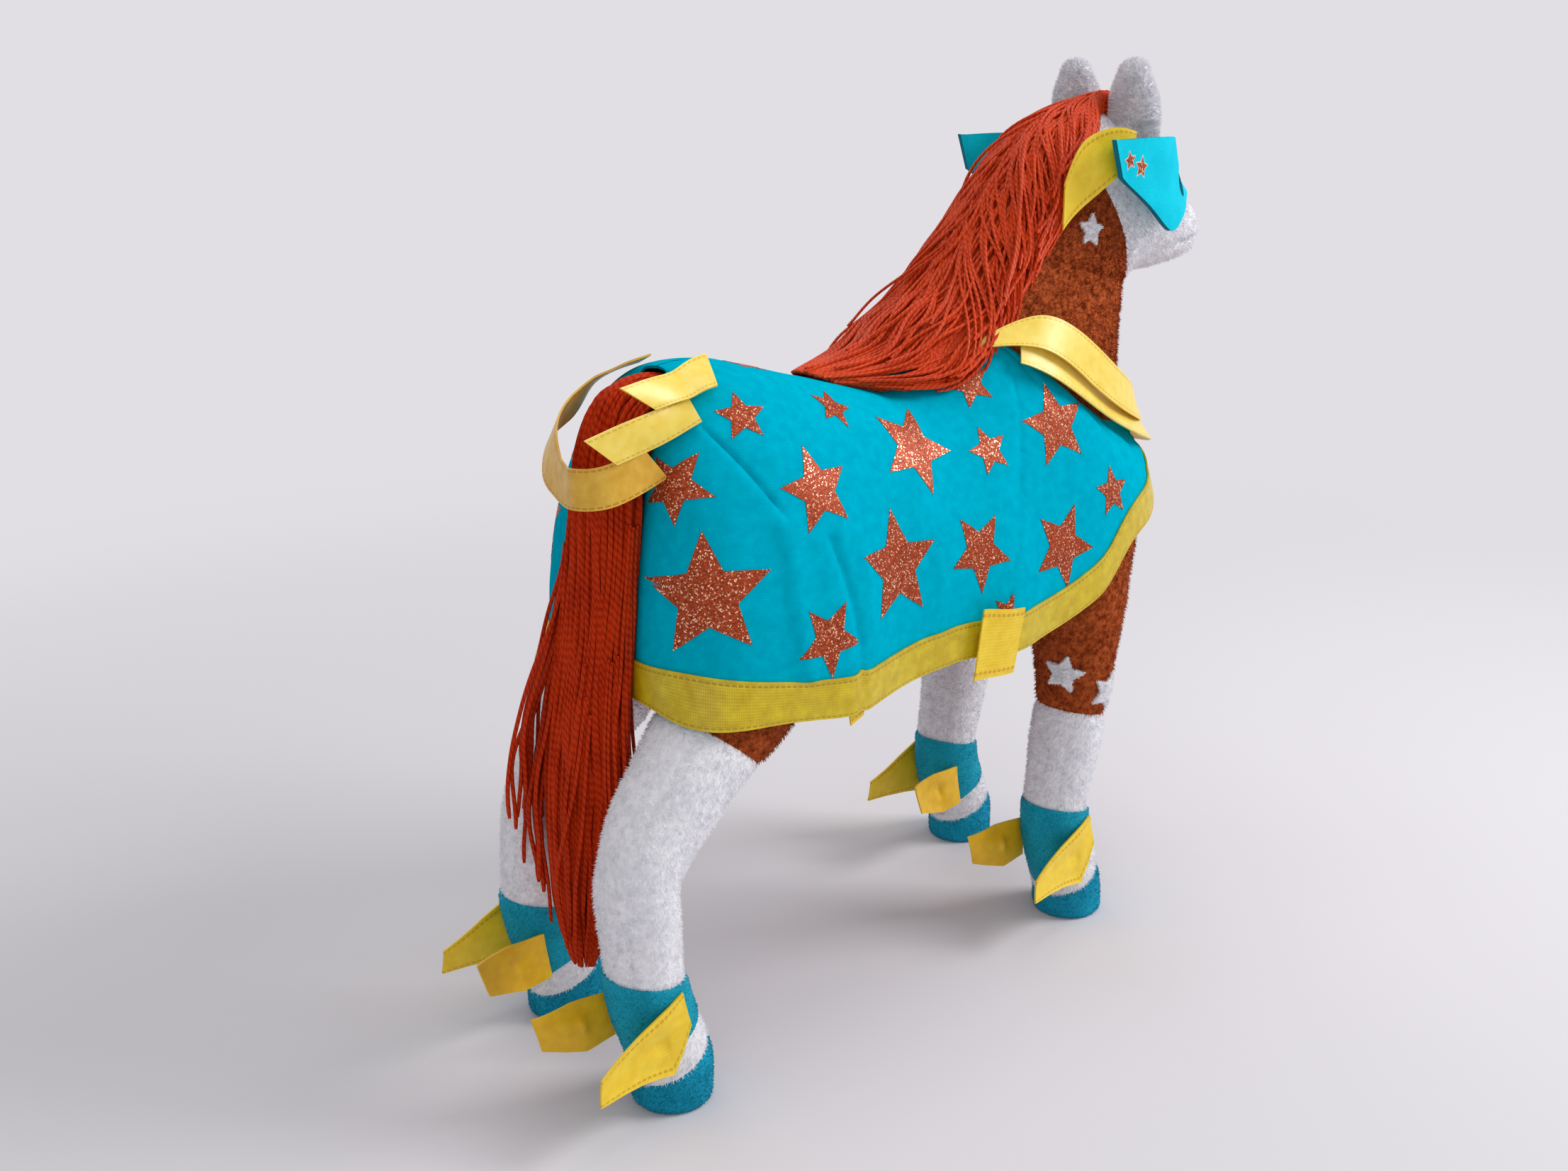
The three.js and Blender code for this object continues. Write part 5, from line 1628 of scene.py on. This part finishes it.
    def half(self, side: Side) -> None:
        """One half of the cloth, its hem and its stars."""
        inner = side.of(self.surface(*shares((0, 1, 261), (0, 1, 101))))
        shell = sheet_shell(inner, self.thickness, inner - heart_of(inner))
        name, node = f"blanket_cotton_{side.word}", f"blanket_{side.word}"
        cloth = add_piece(name, [shell], [Look.cloth], "body", [node])
        strip = side.of(self.surface(*shares((0, 1, 261), (HEM_SHARE, 1, 13))))
        away = facing(grid_normals(strip), strip - heart_of(strip))
        strip = strip + away * (self.thickness + self.hem_gap)
        hem = add_ribbon(f"hem_ribbon_{side.word}", strip, away, Look.hem, "body", f"hem_{side.word}")
        shells = []
        limits = ((0, 1), (0.012, HEM_SHARE + 0.005))
        for x, y, z, radius, turn in self.stars[side]:
            place = np.array([x, -abs(y), z])
            star = Star(tuple(place), radius, turn)
            way = unit(place - heart_of(place))
            plate = star.laid(self.surface, way, self.thickness + self.print_gap, limits)
            shells.append(replace(plate, points=side.of(plate.points)).faced_out())
        prints = add_piece(f"star_prints_{side.word}", shells, [Look.copper], "body")
        lengths = lengths_map(inner, False)[-1, -1] * MM
        log.info("blanket %s: %.3f by %.3f m", side.word, *lengths)

    def build(self) -> None:
        """Builds both halves."""
        for side in Side:
            self.half(side)

    def cover(self) -> Array:
        """Points of everything that the straps lie over."""
        u, v = shares((0, 1, 150), (0, 1, 70))
        inner = self.surface(u, v)
        away = facing(grid_normals(inner), inner - heart_of(inner))
        outer = inner + away * (self.thickness + np.where(v[..., None] > HEM_SHARE, 1.05, 0))
        parts = [outer, outer * MIRROR, *self.bodies(self.clearance + self.thickness)]
        return np.concatenate([part.reshape(-1, 3) for part in parts])


@dataclass
class Straps:
    """The ribbons sewn over the blanket: two across the chest, and the belly strap and tab of each side."""

    cover: Array
    thickness: float = 0.8
    lift: float = 2.0
    lower: tuple = (
        (46, -38, 279, 12), (68, -43, 268, 14), (94, -46, 254, 14), (122, -41, 240, 14), (145, -24, 231, 14),
        (155, 0, 228, 14),
    )
    upper: tuple = (
        (22, -38, 298, 1), (50, -40, 289.5, 12), (70, -43, 279.5, 15), (98, -45, 261, 15),
        (125, -39, 249, 15), (145, -22, 241, 15), (153, 0, 238, 15),
    )
    belly: tuple = ((17, 184.5, 13.5, 153.6), (-5, 184.4, -9.5, 152.9))
    tab: tuple = ((-83, 171, -79, 148), (-77, 171, -75.5, 149.5), (-71, 171, -72, 151))

    def chest(self, place: str, half: Sequence, lift: float) -> None:
        """A ribbon from one shoulder round the chest to the other, sewn down at both ends."""
        path = [*half, *((x, -y, z, width) for x, y, z, width in half[-2::-1])]
        grid = band(path, lambda p: p - heart_of(p), 36, 4)
        steps = np.arange(37)
        from_end = np.minimum(steps, 36 - steps)
        lifts = 0.8 + (lift - 0.8) * smooth(from_end, 0, 3)
        fine = draped_ribbon(grid, self.cover, lifts[:, None] + 0.3, 181, 13, hug=True)
        away = fine - heart_of(fine)
        add_ribbon(f"chest_ribbon_{place}", fine, away, Look.lemon, "body", f"chest_strap_{place}")

    def side_ribbons(self, side: Side) -> None:
        """The belly strap and the small folded tab of one side."""
        strap = draped_ribbon(bolt(self.belly, -67.5, 8, 4), self.cover, self.lift + 0.6, 33, 9)
        tab = bolt(self.tab, -66.8, 16, 24)
        for kind, grid in (("belly_strap", strap), ("belly_tab", tab)):
            name, node = f"{kind}_ribbon_{side.word}", f"{kind}_{side.word}"
            add_ribbon(name, side.of(grid), side.outward, Look.wing, "body", node)

    def build(self) -> None:
        """Builds every strap."""
        self.chest("lower", self.lower, self.lift + 0.4)
        self.chest("upper", self.upper, 2 * self.lift + self.thickness)
        for side in Side:
            self.side_ribbons(side)


@dataclass
class TailStrap:
    """The strap that loops round the tail, with the two lengths of its end folded over it."""

    cover: Array
    lift: float = 2.0
    path: tuple = (
        (-112, 14, 282, 16), (-124, 17.5, 280, 16), (-134, 22, 277.5, 16), (-147, 24.5, 271.5, 16),
        (-157, 21, 265, 16), (-165, 11, 256, 16), (-170, -4, 251, 16), (-172, -16, 251, 16),
        (-164, -24.5, 252.5, 16), (-143, -26.5, 257.3, 16),
    )
    middle: tuple = (
        (-176.7, -27.7, 272, -162.6, -27.7, 261), (-161, -27.7, 275.8, -149, -27.7, 264),
        (-144, -26.5, 278.7, -138.2, -30.5, 267.9), (-126.6, -25, 281, -126.8, -34.2, 273.1),
    )
    upper: tuple = (
        (-161.2, -28.9, 289.5, -145, -28.9, 279.6), (-143.6, -24, 290.4, -135, -28.9, 281),
        (-124.9, -18, 289.9, -125.4, -29.4, 281.7), (-105, -10.5, 288, -114.8, -29.4, 281.3),
    )
    end_slant: tuple[float, float] = (5.5, -3.5)

    def round_the_tail(self, points: Array) -> Array:
        """The way the loop faces: away from the tail."""
        x, y = points[..., 0], points[..., 1]
        upward = np.maximum(0, y * 0.85) + 22 * smooth(x, -136, -114)
        return np.stack([np.minimum(x + 145, 0), y, upward * (y > 0)], axis=-1)

    def build(self) -> None:
        """Builds the loop and both folded ends."""
        coarse = band(self.path, self.round_the_tail, 32, 3)
        lifts = 0.8 + (self.lift - 0.8) * smooth(np.linspace(0, 1, 33), 0.1, 0.4)
        grid = draped_ribbon(coarse, self.cover, lifts[:, None], 129, 11)
        slant = smooth(np.linspace(0, 1, 129), 0.88, 1)[:, None] * np.linspace(*self.end_slant, 11)
        grid = grid + slant[..., None] * np.array([1, 0, 0.2])
        way = self.round_the_tail(grid)
        # The loop takes the darker copy of the lemon satin as painted shade; its folded ends take the lemon
        # satin itself.
        add_ribbon("tail_strap_ribbon", grid, way, Look.inner_gold, "body", "tail_strap_loop")
        for order, (place, columns) in enumerate((("middle", self.middle), ("upper", self.upper))):
            grid = draped_ribbon(ruled(columns, 12, 4), self.cover, 1.2 * (1 + order), 49, 9)
            name, node = f"tail_strap_fold_{place}", f"tail_strap_{place}"
            add_ribbon(name, grid, Side.RIGHT.outward, Look.lemon, "body", node)


# Tail and mane


@dataclass
class Yarn:
    """A bundle of yarn that follows a stuffed form: a core and layers of strands wound round it."""

    form: StuffedForm
    strand_radius: float
    layers: tuple[tuple[int, float], ...]
    steps: int = 60
    twist: float = 0.5
    sway: float = 1.3
    ragged: float = 0.09
    seed: int = 81

    def strands(self, reach: tuple[float, float] = (0.0, 1.0), sides: int = 6) -> Shell:
        """All the strands.

        A strand of a layer at scale s is form.skin(u, angle + twist * u + waves, scale s). Each one starts and
        ends at its own share of the length.
        """
        rng = np.random.default_rng(self.seed)
        count = sum(number for number, _ in self.layers)
        scale = np.concatenate([np.full(number, share) for number, share in self.layers])
        scale = scale + rng.normal(0, 0.025, count)
        angle = np.concatenate([np.arange(number) / number for number, _ in self.layers]) * TURN
        angle = angle + rng.normal(0, 0.045 * self.sway, count)
        run = np.linspace(0, 1, self.steps)[None]
        low = reach[0] + rng.uniform(0, 0.03, count)
        high = reach[1] - self.ragged * rng.random(count) ** 1.6
        u = low[:, None] + (high - low)[:, None] * run
        phase = rng.uniform(0, TURN, (count, 3))
        wave = np.sin(u * 9 + phase[:, :1]) + 0.6 * np.sin(u * 23 + phase[:, 1:2])
        lift = 0.5 * self.strand_radius * np.sin(u * 15 + phase[:, 2:])
        turn = angle[:, None] + self.twist * (u - 0.5) + wave * 0.07 * self.sway
        paths = self.form.skin(u, turn, lift - self.strand_radius * 0.6, scale[:, None])
        taper = 1 - 0.6 * smooth(run, 0.985, 1.0) - 0.3 * (1 - smooth(run, 0, 0.02))
        thick = rng.uniform(0.85, 1.12, (count, 1)) * self.strand_radius * taper
        return tubes(paths, thick, sides)

    def loose(
        self,
        start: tuple[float, float],
        length: tuple[float, float],
        from_angle: tuple[float, float],
        drift: tuple[float, float],
        flare: tuple[float, float],
        count: int,
        sides: int = 5,
    ) -> Shell:
        """Loose strands that leave the bundle.

        Each is form.skin(u, root angle + drift, grown by flare) with small waves. Drift and flare come in by a
        smooth step of the run from 0 to 1 along the strand.

        Args:
            start: Range of the shares of the length where they leave.
            length: Range of their lengths, as shares.
            from_angle: Range of the angles at their roots.
            drift: Range of how far their tips turn round the bundle.
            flare: Range of how far their tips stand off, in millimetres.
            count: How many.
            sides: Points round a strand.

        Returns:
            The strands.
        """
        rng = np.random.default_rng(self.seed + count)
        run = np.linspace(0, 1, 36)[None]
        spans = (start, length, from_angle, drift, flare)
        begin, reach, root, turned, stand = (rng.uniform(*span, (count, 1)) for span in spans)
        u = begin + reach * run
        phase = rng.uniform(0, TURN, (count, 2))
        waves = np.sin(run * 7 + phase[:, :1]) * run
        angle = root + turned * smooth(run, 0, 0.8) + 0.08 * waves
        wavy = 1.1 * np.sin(run * 11 + phase[:, 1:]) * run
        off = stand * smooth(run, 0, 0.75) + self.strand_radius * 0.4 + wavy
        paths = self.form.skin(u, angle, off)
        thick = self.strand_radius * rng.uniform(0.85, 1.1, (count, 1)) * (1 - 0.25 * smooth(run, 0.97, 1))
        return tubes(paths, thick, sides)

    def wraps(self, low: float, high: float, count: int, grow: float) -> Shell:
        """Strands wound round the bundle: each is form.skin(u + climb * turn, turn, grow) for one turn."""
        turn = np.linspace(0, 1.06, 40)[None]
        start = np.linspace(low, high, count)[:, None]
        phase = np.arange(count)[:, None] * 2.4
        climb = 0.7 * (high - low) / count * np.sin(phase)
        wavy = grow + 0.3 * np.sin(turn * 9 + phase)
        paths = self.form.skin(start + climb * turn, turn * TURN + phase, wavy)
        return tubes(paths, np.full(paths.shape[:2], self.strand_radius), 6)


@dataclass
class Tail:
    """The hanging yarn tail on its round root, with a few loose ends."""

    dock: Corner = (-124, 0, 272)
    dock_radius: float = 9.2
    stations: Stations = (
        (-120, 286, -121, 262, 0, 11.5), (-133, 287, -128, 260, 0, 13), (-146.5, 281, -132, 255, 0, 14.5),
        (-155.5, 263, -136, 248, 0, 15.5), (-159, 242, -137.5, 236, 0, 17.5),
        (-162.5, 215, -141, 213, 0, 18.5), (-166.5, 185, -144.5, 185, 0, 19),
        (-171.5, 155, -147, 155, 0, 19.5), (-175, 125, -148.5, 125, 0, 20.5), (-176, 95, -152, 95, 0, 18.5),
        (-174, 66, -157, 66, 0, 13), (-171, 46, -162, 46, 0, 6),
    )

    def build(self) -> None:
        """Builds the core, the strands and the root."""
        form = StuffedForm(self.stations, 0.2, 0.8, lump=0.4, lump_size=10, seed=82)
        core = form.skin(np.linspace(-0.9, 0.86, 60)[:, None], np.arange(40)[None] * TURN / 40, -3.2)
        yarn = Yarn(form, 0.95, ((72, 1.0), (60, 0.88), (30, 0.6)), steps=72, twist=0.5, ragged=0.24)
        shells = [
            grid_shell(core, around=True, closed=True),
            yarn.strands((-0.6, 1.02)),
            yarn.loose((0.42, 0.56), (0.24, 0.36), (1.5, 2.6), (-0.4, 0.3), (4, 15), 30),
            yarn.loose((0.5, 0.7), (0.25, 0.36), (0, TURN), (-0.3, 0.3), (1, 6), 18),
            yarn.loose((0.3, 0.6), (0.3, 0.4), (4.2, 5.2), (-0.1, 0.3), (0, 2.5), 10),
            ball(np.array(self.dock), self.dock_radius, 16, 24, 0.05),
        ]
        add_piece("tail_yarn_bundle", shells, [Look.tail_yarn], "tail", ["tail"])


@dataclass
class Mane:
    """The yarn mane from between the ears down the crest to the withers, which passes along the neck from the
    body to the head.
    """

    stations: Stations = (
        (152, 390, 149, 373, 0, 3), (141, 390, 137, 370, 0, 3.2), (124, 386, 128, 364, 0, 13),
        (104, 380, 117, 352, 0, 19), (87, 370, 105, 340, 0, 22), (71, 355, 94, 326, 0, 23.5),
        (56, 338, 80, 312, 0, 24.5), (42, 322, 68, 298, 0, 27), (27, 308, 55, 281, 0, 31),
        (8, 297, 38, 266, 0, 34), (-12, 285, 15, 262, 0, 31), (-44, 278.5, -32, 272, 0, 13),
    )

    def build(self) -> None:
        """Builds the core and the strands as one piece."""
        form = StuffedForm(self.stations, 0.8, 0.5, lump=0.4, lump_size=12, seed=84)
        core = form.skin(np.linspace(-0.95, 0.9, 70)[:, None], np.arange(44)[None] * TURN / 44, -2.6)
        yarn = Yarn(form, 0.8, ((84, 1.0), (70, 0.93)), steps=56, twist=0.25, sway=2.4, ragged=0.12, seed=85)
        shells = [
            grid_shell(core, around=True, closed=True),
            yarn.strands((0.0, 1.06), sides=6),
            yarn.wraps(0.02, 0.12, 8, 0.6),
            yarn.loose((0.12, 0.4), (0.14, 0.3), (4.2, 4.8), (0.1, 0.7), (2, 6), 16),
            yarn.loose((0.02, 0.6), (0.22, 0.4), (3.2, 4.0), (0.9, 1.9), (0.5, 5), 90),
            yarn.loose((0.02, 0.6), (0.22, 0.4), (2.3, 3.1), (-1.9, -0.9), (0.5, 5), 60),
            yarn.loose((0.55, 0.75), (0.2, 0.3), (3.0, 5.5), (-0.3, 0.4), (0, 3), 24),
        ]
        nodes = ["mane_neck", "mane_poll"]
        add_piece("mane_yarn_bundle", shells, [Look.mane_yarn], "body", nodes, bends=True)


# The mask


@dataclass
class Mask:
    """The foam mask, its eye holes and small stars, and the ribbons that come out from under it."""

    foam: float = 2.4
    clearance: float = 1.7
    heart: Corner = (140, 0, 340)
    hole_radius: float = 7.5
    hole_place: Corner = (163, 24, 350)
    hole_facing: float = 32
    ribbon_aside: dict[Side, float] = field(default_factory=lambda: {Side.RIGHT: 41.6, Side.LEFT: 40.9})
    columns: tuple = (
        (97, -45, 371, 103, -45, 354.5), (125, -42, 371, 128, -42, 341), (143, -38, 371, 149, -39.5, 328.5),
        (158, -31.5, 370, 163, -35, 333), (165, -25, 368, 176, -27, 339), (168.5, -13, 369, 185, -15, 345),
        (169.5, 0, 369.5, 189, 0, 350),
    )
    stars: tuple = (((108.8, -46.6, 361.7), 3.8, -12), ((119.1, -45.6, 358.6), 4.6, 8))
    ribbons: dict[Side, tuple] = field(
        default_factory=lambda: {
            Side.RIGHT: (
                (118, 374, 118, 359), (109, 376, 109, 354.5), (100, 374.5, 100, 347), (91, 368, 91, 339.5),
                (83, 352, 83, 332),
            ),
            Side.LEFT: (
                (120, 353, 127, 340), (113, 350, 120, 332), (107, 343, 113, 324), (103, 331, 106, 318),
            ),
        }
    )

    def __post_init__(self) -> None:
        """Lays the foam round the face: straight from top to bottom, pushed out until it clears the head."""
        half = np.array(self.columns, float)
        other = half[-2::-1] * np.tile(MIRROR, 2)
        row = curve(np.concatenate([half, other]), np.linspace(0, 1, 65))[:, None]
        points = row[..., :3] + (row[..., 3:] - row[..., :3]) * np.linspace(0, 1, 9)[None, :, None]
        heart = np.broadcast_to(np.array(self.heart), points.shape)
        skin = NECK.skin(*round_grid(0, 1.98, 200, 80))
        reach = blocked_reach(points.reshape(-1, 3), heart.reshape(-1, 3), skin.reshape(-1, 3), 2.2)
        away = np.linalg.norm(points - heart, axis=-1)
        wanted = np.maximum(reach.reshape(away.shape) + self.clearance, away)
        self.control = heart + unit(points - heart) * eased(wanted, 2)[..., None]

    def surface(self, u: Array, v: Array) -> Array:
        """The mask's inner side: u from the right end round the face to the left one, v from the top down."""
        return read_grid(self.control, u, v)

    def hole_axis(self, points: Array) -> Array:
        """The way the eye hole on each point's side faces."""
        turn = math.radians(self.hole_facing)
        sign = np.sign(points[..., 1] + 1e-6)
        return np.stack([sign * 0 + math.sin(turn), math.cos(turn) * sign, sign * 0], axis=-1)

    def from_hole(self, points: Array) -> Array:
        """Vectors to points, square to the axis of the eye hole on their side."""
        sign = np.sign(points[..., 1] + 1e-6)
        x, y, z = self.hole_place
        away = points - np.stack([sign * 0 + x, y * sign, sign * 0 + z], axis=-1)
        axis = self.hole_axis(points)
        return away - axis * (away * axis).sum(-1, keepdims=True)

    def build(self) -> None:
        """Builds the foam with its holes, the printed stars and both ribbons.

        Cells whose middle is within a hole are left out. The points round them move within the surface to the
        hole's radius.
        """
        u, v = shares((0, 1, 241), (0, 1, 45))
        inner = self.surface(u, v)
        away = self.from_hole(inner)
        ahead = inner[..., 0] > self.hole_place[0] - 12
        hollow = (np.linalg.norm(cells(away).mean(2), axis=-1) < self.hole_radius) & ahead[:-1, :-1]
        touching = np.zeros((4, *u.shape), bool)
        filled = np.zeros((4, *u.shape), bool)
        for k, spot in enumerate((np.s_[:-1, :-1], np.s_[:-1, 1:], np.s_[1:, 1:], np.s_[1:, :-1])):
            touching[(k, *spot)] = hollow
            filled[(k, *spot)] = ~hollow
        rim = touching.any(0) & filled.any(0)
        normal = grid_normals(inner)
        axis = self.hole_axis(inner)
        way = unit(away)
        slide = way - axis * ((way * normal).sum(-1) / (axis * normal).sum(-1))[..., None]
        short = self.hole_radius - np.linalg.norm(away, axis=-1)
        inner = np.where(rim[..., None], inner + slide * short[..., None], inner)
        shell = sheet_shell(inner, self.foam, inner - np.array(self.heart))
        both = np.concatenate([hollow.reshape(-1), hollow.reshape(-1)])
        keep = np.concatenate([~both, np.ones(len(shell.quads) - len(both), bool)])
        shell = replace(shell, quads=shell.quads[keep], quad_map=shell.quad_map[keep])
        self.foam_piece(shell, u.size)
        for side in Side:
            self.ribbon(side)

    def foam_piece(self, shell: Shell, count: int) -> None:
        """The foam as a piece: the rims round its holes closed, its cut edges darker.

        Args:
            shell: The two sides of the foam and its outer rim, without the faces of the holes.
            count: Points of a side's grid.
        """
        edges = np.concatenate([shell.quads[:, [k, (k + 1) % 4]] for k in range(4)])
        low = edges[(edges < count).all(1)]
        key = low[:, 0] * (2 * count) + low[:, 1]
        back = low[:, 1] * (2 * count) + low[:, 0]
        open_edges = low[~np.isin(key, back)]
        one, other = open_edges.T
        rim = np.stack([other, one, one + count, other + count], axis=1)
        as_one = [("", rim.dtype)] * 4
        used = np.isin(np.sort(rim, 1).view(as_one), np.sort(shell.quads, 1).view(as_one))
        rim = rim[~used.ravel()]
        quads = np.concatenate([shell.quads, rim])
        flats = np.concatenate([shell.quad_map, np.zeros((len(rim), 4, 2))])
        whole = Shell(shell.points, quads, flats)
        crossing = (shell.quads < count).any(1) & (shell.quads >= count).any(1)
        piece = add_piece("mask_foam", [whole], [Look.foam, Look.foam_edge], "head", ["mask"])
        give_second_finish(piece, np.concatenate([crossing, np.ones(len(rim), bool)]))
        plates = []
        way, limits = unit(np.array([0.3, -0.95, 0])), ((0.02, 0.45), (0.02, 0.98))
        for place, radius, turn in self.stars:
            for grow, lift, finish in ((0.9, 0.14, 1), (0, 0.26, 0)):
                plate = Star(place, radius + grow, turn, 0.5, 6).laid(self.outer, way, lift, limits)
                plates.append(replace(plate, finish=finish))
        add_piece("mask_stars", plates, [Look.copper, Look.star_rim], "head")

    def outer(self, u: Array, v: Array) -> Array:
        """The mask's outer side."""
        inner = self.surface(u, v)
        return inner + surface_normals(self.surface, u, v, inner - np.array(self.heart)) * self.foam

    def ribbon(self, side: Side) -> None:
        """The ribbon that comes out from under the mask on one side: a rounded end with a stitched edge."""
        grid = bolt(self.ribbons[side], 0, 40, 12)
        spread = smooth(grid[..., 0], 83, 118)
        grid[..., 1] = side.value * (31 + (self.ribbon_aside[side] - 31) * spread)
        name, node = f"mask_ribbon_gold_{side.word}", f"mask_ribbon_{side.word}"
        add_ribbon(name, grid, side.outward, Look.wing, "head", node)


def paint_wires() -> None:
    """Gives the wires, which stay as the frame has them, their steel."""
    for name in ("spine_wire", "hind_leg_wire", "foreleg_wire"):
        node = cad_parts[name]
        node.data.materials.clear()
        node.data.materials.append(Look.steel)


# The studio

FLOOR_CORNERS = ((-1, -1), (1, -1), (1, 1), (-1, 1))


@dataclass
class Studio:
    """A plain pale floor, soft lamps and the camera."""

    floor: Colour = (222, 219, 224)
    backdrop: Colour = (226, 223, 228)
    camera_place: Corner = (-0.5222, -0.5276, 0.400)
    heading: float = 48.5
    pitch: float = 16.83
    lens: float = 39.04
    sensor: float = 36
    near: float = 0.02
    half_floor: float = 6
    floor_drop: float = 0.0004
    world_light: float = 0.4
    lamps: tuple = (
        ("key", (1.2, -0.95, 1.2), 20.5, 0.8),
        ("top", (0.1, 0.0, 1.8), 8, 1.2),
        ("fill", (-1.1, -1.2, 0.9), 4, 1.2),
        ("back", (0.3, 1.5, 1.0), 4, 1.2),
    )
    lit: Corner = (0, 0, 0.2)

    def lamp(self, name: str, place: Corner, power: float, size: float) -> None:
        """A square soft lamp that looks at the horse."""
        light = bpy.data.lights.new(name, "AREA")
        light.energy, light.size = power, size
        lamp = bpy.data.objects.new(name, light)
        lamp.location = place
        lamp.rotation_euler = (Vector(self.lit) - Vector(place)).to_track_quat("-Z", "Y").to_euler()
        bpy.context.scene.collection.objects.link(lamp)

    def looked_at(self, graph: Graph) -> Socket:
        """One for what the camera sees, straight or in a glossy surface or through a clear one."""
        rays = graph.add("ShaderNodeLightPath").outputs
        straight = graph.math("MAXIMUM", rays["Is Camera Ray"], rays["Is Glossy Ray"])
        return graph.math("MAXIMUM", straight, rays["Is Transmission Ray"])

    def floor_paper(self) -> Material:
        """Pale paper that takes the horse's shadow near it and passes into the backdrop far from it."""
        material = bpy.data.materials.new("pale_paper")
        material.use_nodes = True
        graph = Graph(material.node_tree)
        shader = material.node_tree.nodes["Principled BSDF"]
        shader.inputs["Base Color"].default_value = linear(self.floor)
        shader.inputs["Roughness"].default_value = 0.9
        shader.inputs["Specular IOR Level"].default_value = 0.1
        place = graph.add("ShaderNodeTexCoord").outputs["Object"]
        distance = graph.add("ShaderNodeVectorMath", {0: place}, operation="LENGTH").outputs["Value"]
        far = graph.math("MULTIPLY", graph.ramp(distance, 0.35, 1.1), self.looked_at(graph))
        backdrop = graph.add("ShaderNodeEmission", {0: linear(self.backdrop), 1: 1.0})
        mixed = graph.add("ShaderNodeMixShader", {0: far, 1: shader.outputs[0], 2: backdrop.outputs[0]})
        graph.tree.links.new(mixed.outputs[0], material.node_tree.nodes["Material Output"].inputs[0])
        return material

    def build(self) -> None:
        """Builds the floor, the lamps, the world and the camera."""
        scene = bpy.context.scene
        mesh = bpy.data.meshes.new("floor")
        corners = [(x * self.half_floor, y * self.half_floor, -self.floor_drop) for x, y in FLOOR_CORNERS]
        mesh.from_pydata(corners, [], [range(4)])
        mesh.materials.append(self.floor_paper())
        floor = bpy.data.objects.new("floor", mesh)
        scene.collection.objects.link(floor)
        world = bpy.data.worlds.new("studio")
        world.use_nodes = True
        graph = Graph(world.node_tree)
        lighting = world.node_tree.nodes["Background"]
        lighting.inputs[0].default_value = STUDIO_GREY
        lighting.inputs[1].default_value = self.world_light
        seen = graph.add("ShaderNodeBackground", {0: linear(self.backdrop), 1: 1.0})
        values = {0: self.looked_at(graph), 1: lighting.outputs[0], 2: seen.outputs[0]}
        mixed = graph.add("ShaderNodeMixShader", values)
        graph.tree.links.new(mixed.outputs[0], world.node_tree.nodes["World Output"].inputs[0])
        scene.world = world
        for values in self.lamps:
            self.lamp(*values)
        camera = bpy.data.objects.new("camera", bpy.data.cameras.new("camera"))
        camera.data.lens = self.lens
        camera.data.sensor_width = self.sensor
        camera.data.clip_start = self.near
        camera.location = self.camera_place
        camera.rotation_euler = (math.radians(90 - self.pitch), 0, math.radians(self.heading - 90))
        scene.collection.objects.link(camera)
        scene.camera = camera
        scene.view_settings.view_transform = "Standard"


def main() -> None:
    """Builds the horse piece by piece."""
    logging.basicConfig(level=logging.INFO, format="%(message)s")
    Trunk().build()
    Face().build()
    HIND_LEGS.build()
    FORE_LEGS.build()
    KneeStars().build()
    blanket = Blanket()
    blanket.build()
    cover = blanket.cover()
    Straps(cover).build()
    TailStrap(cover).build()
    Tail().build()
    Mane().build()
    Mask().build()
    paint_wires()
    Studio().build()


if __name__ == "__main__":
    main()
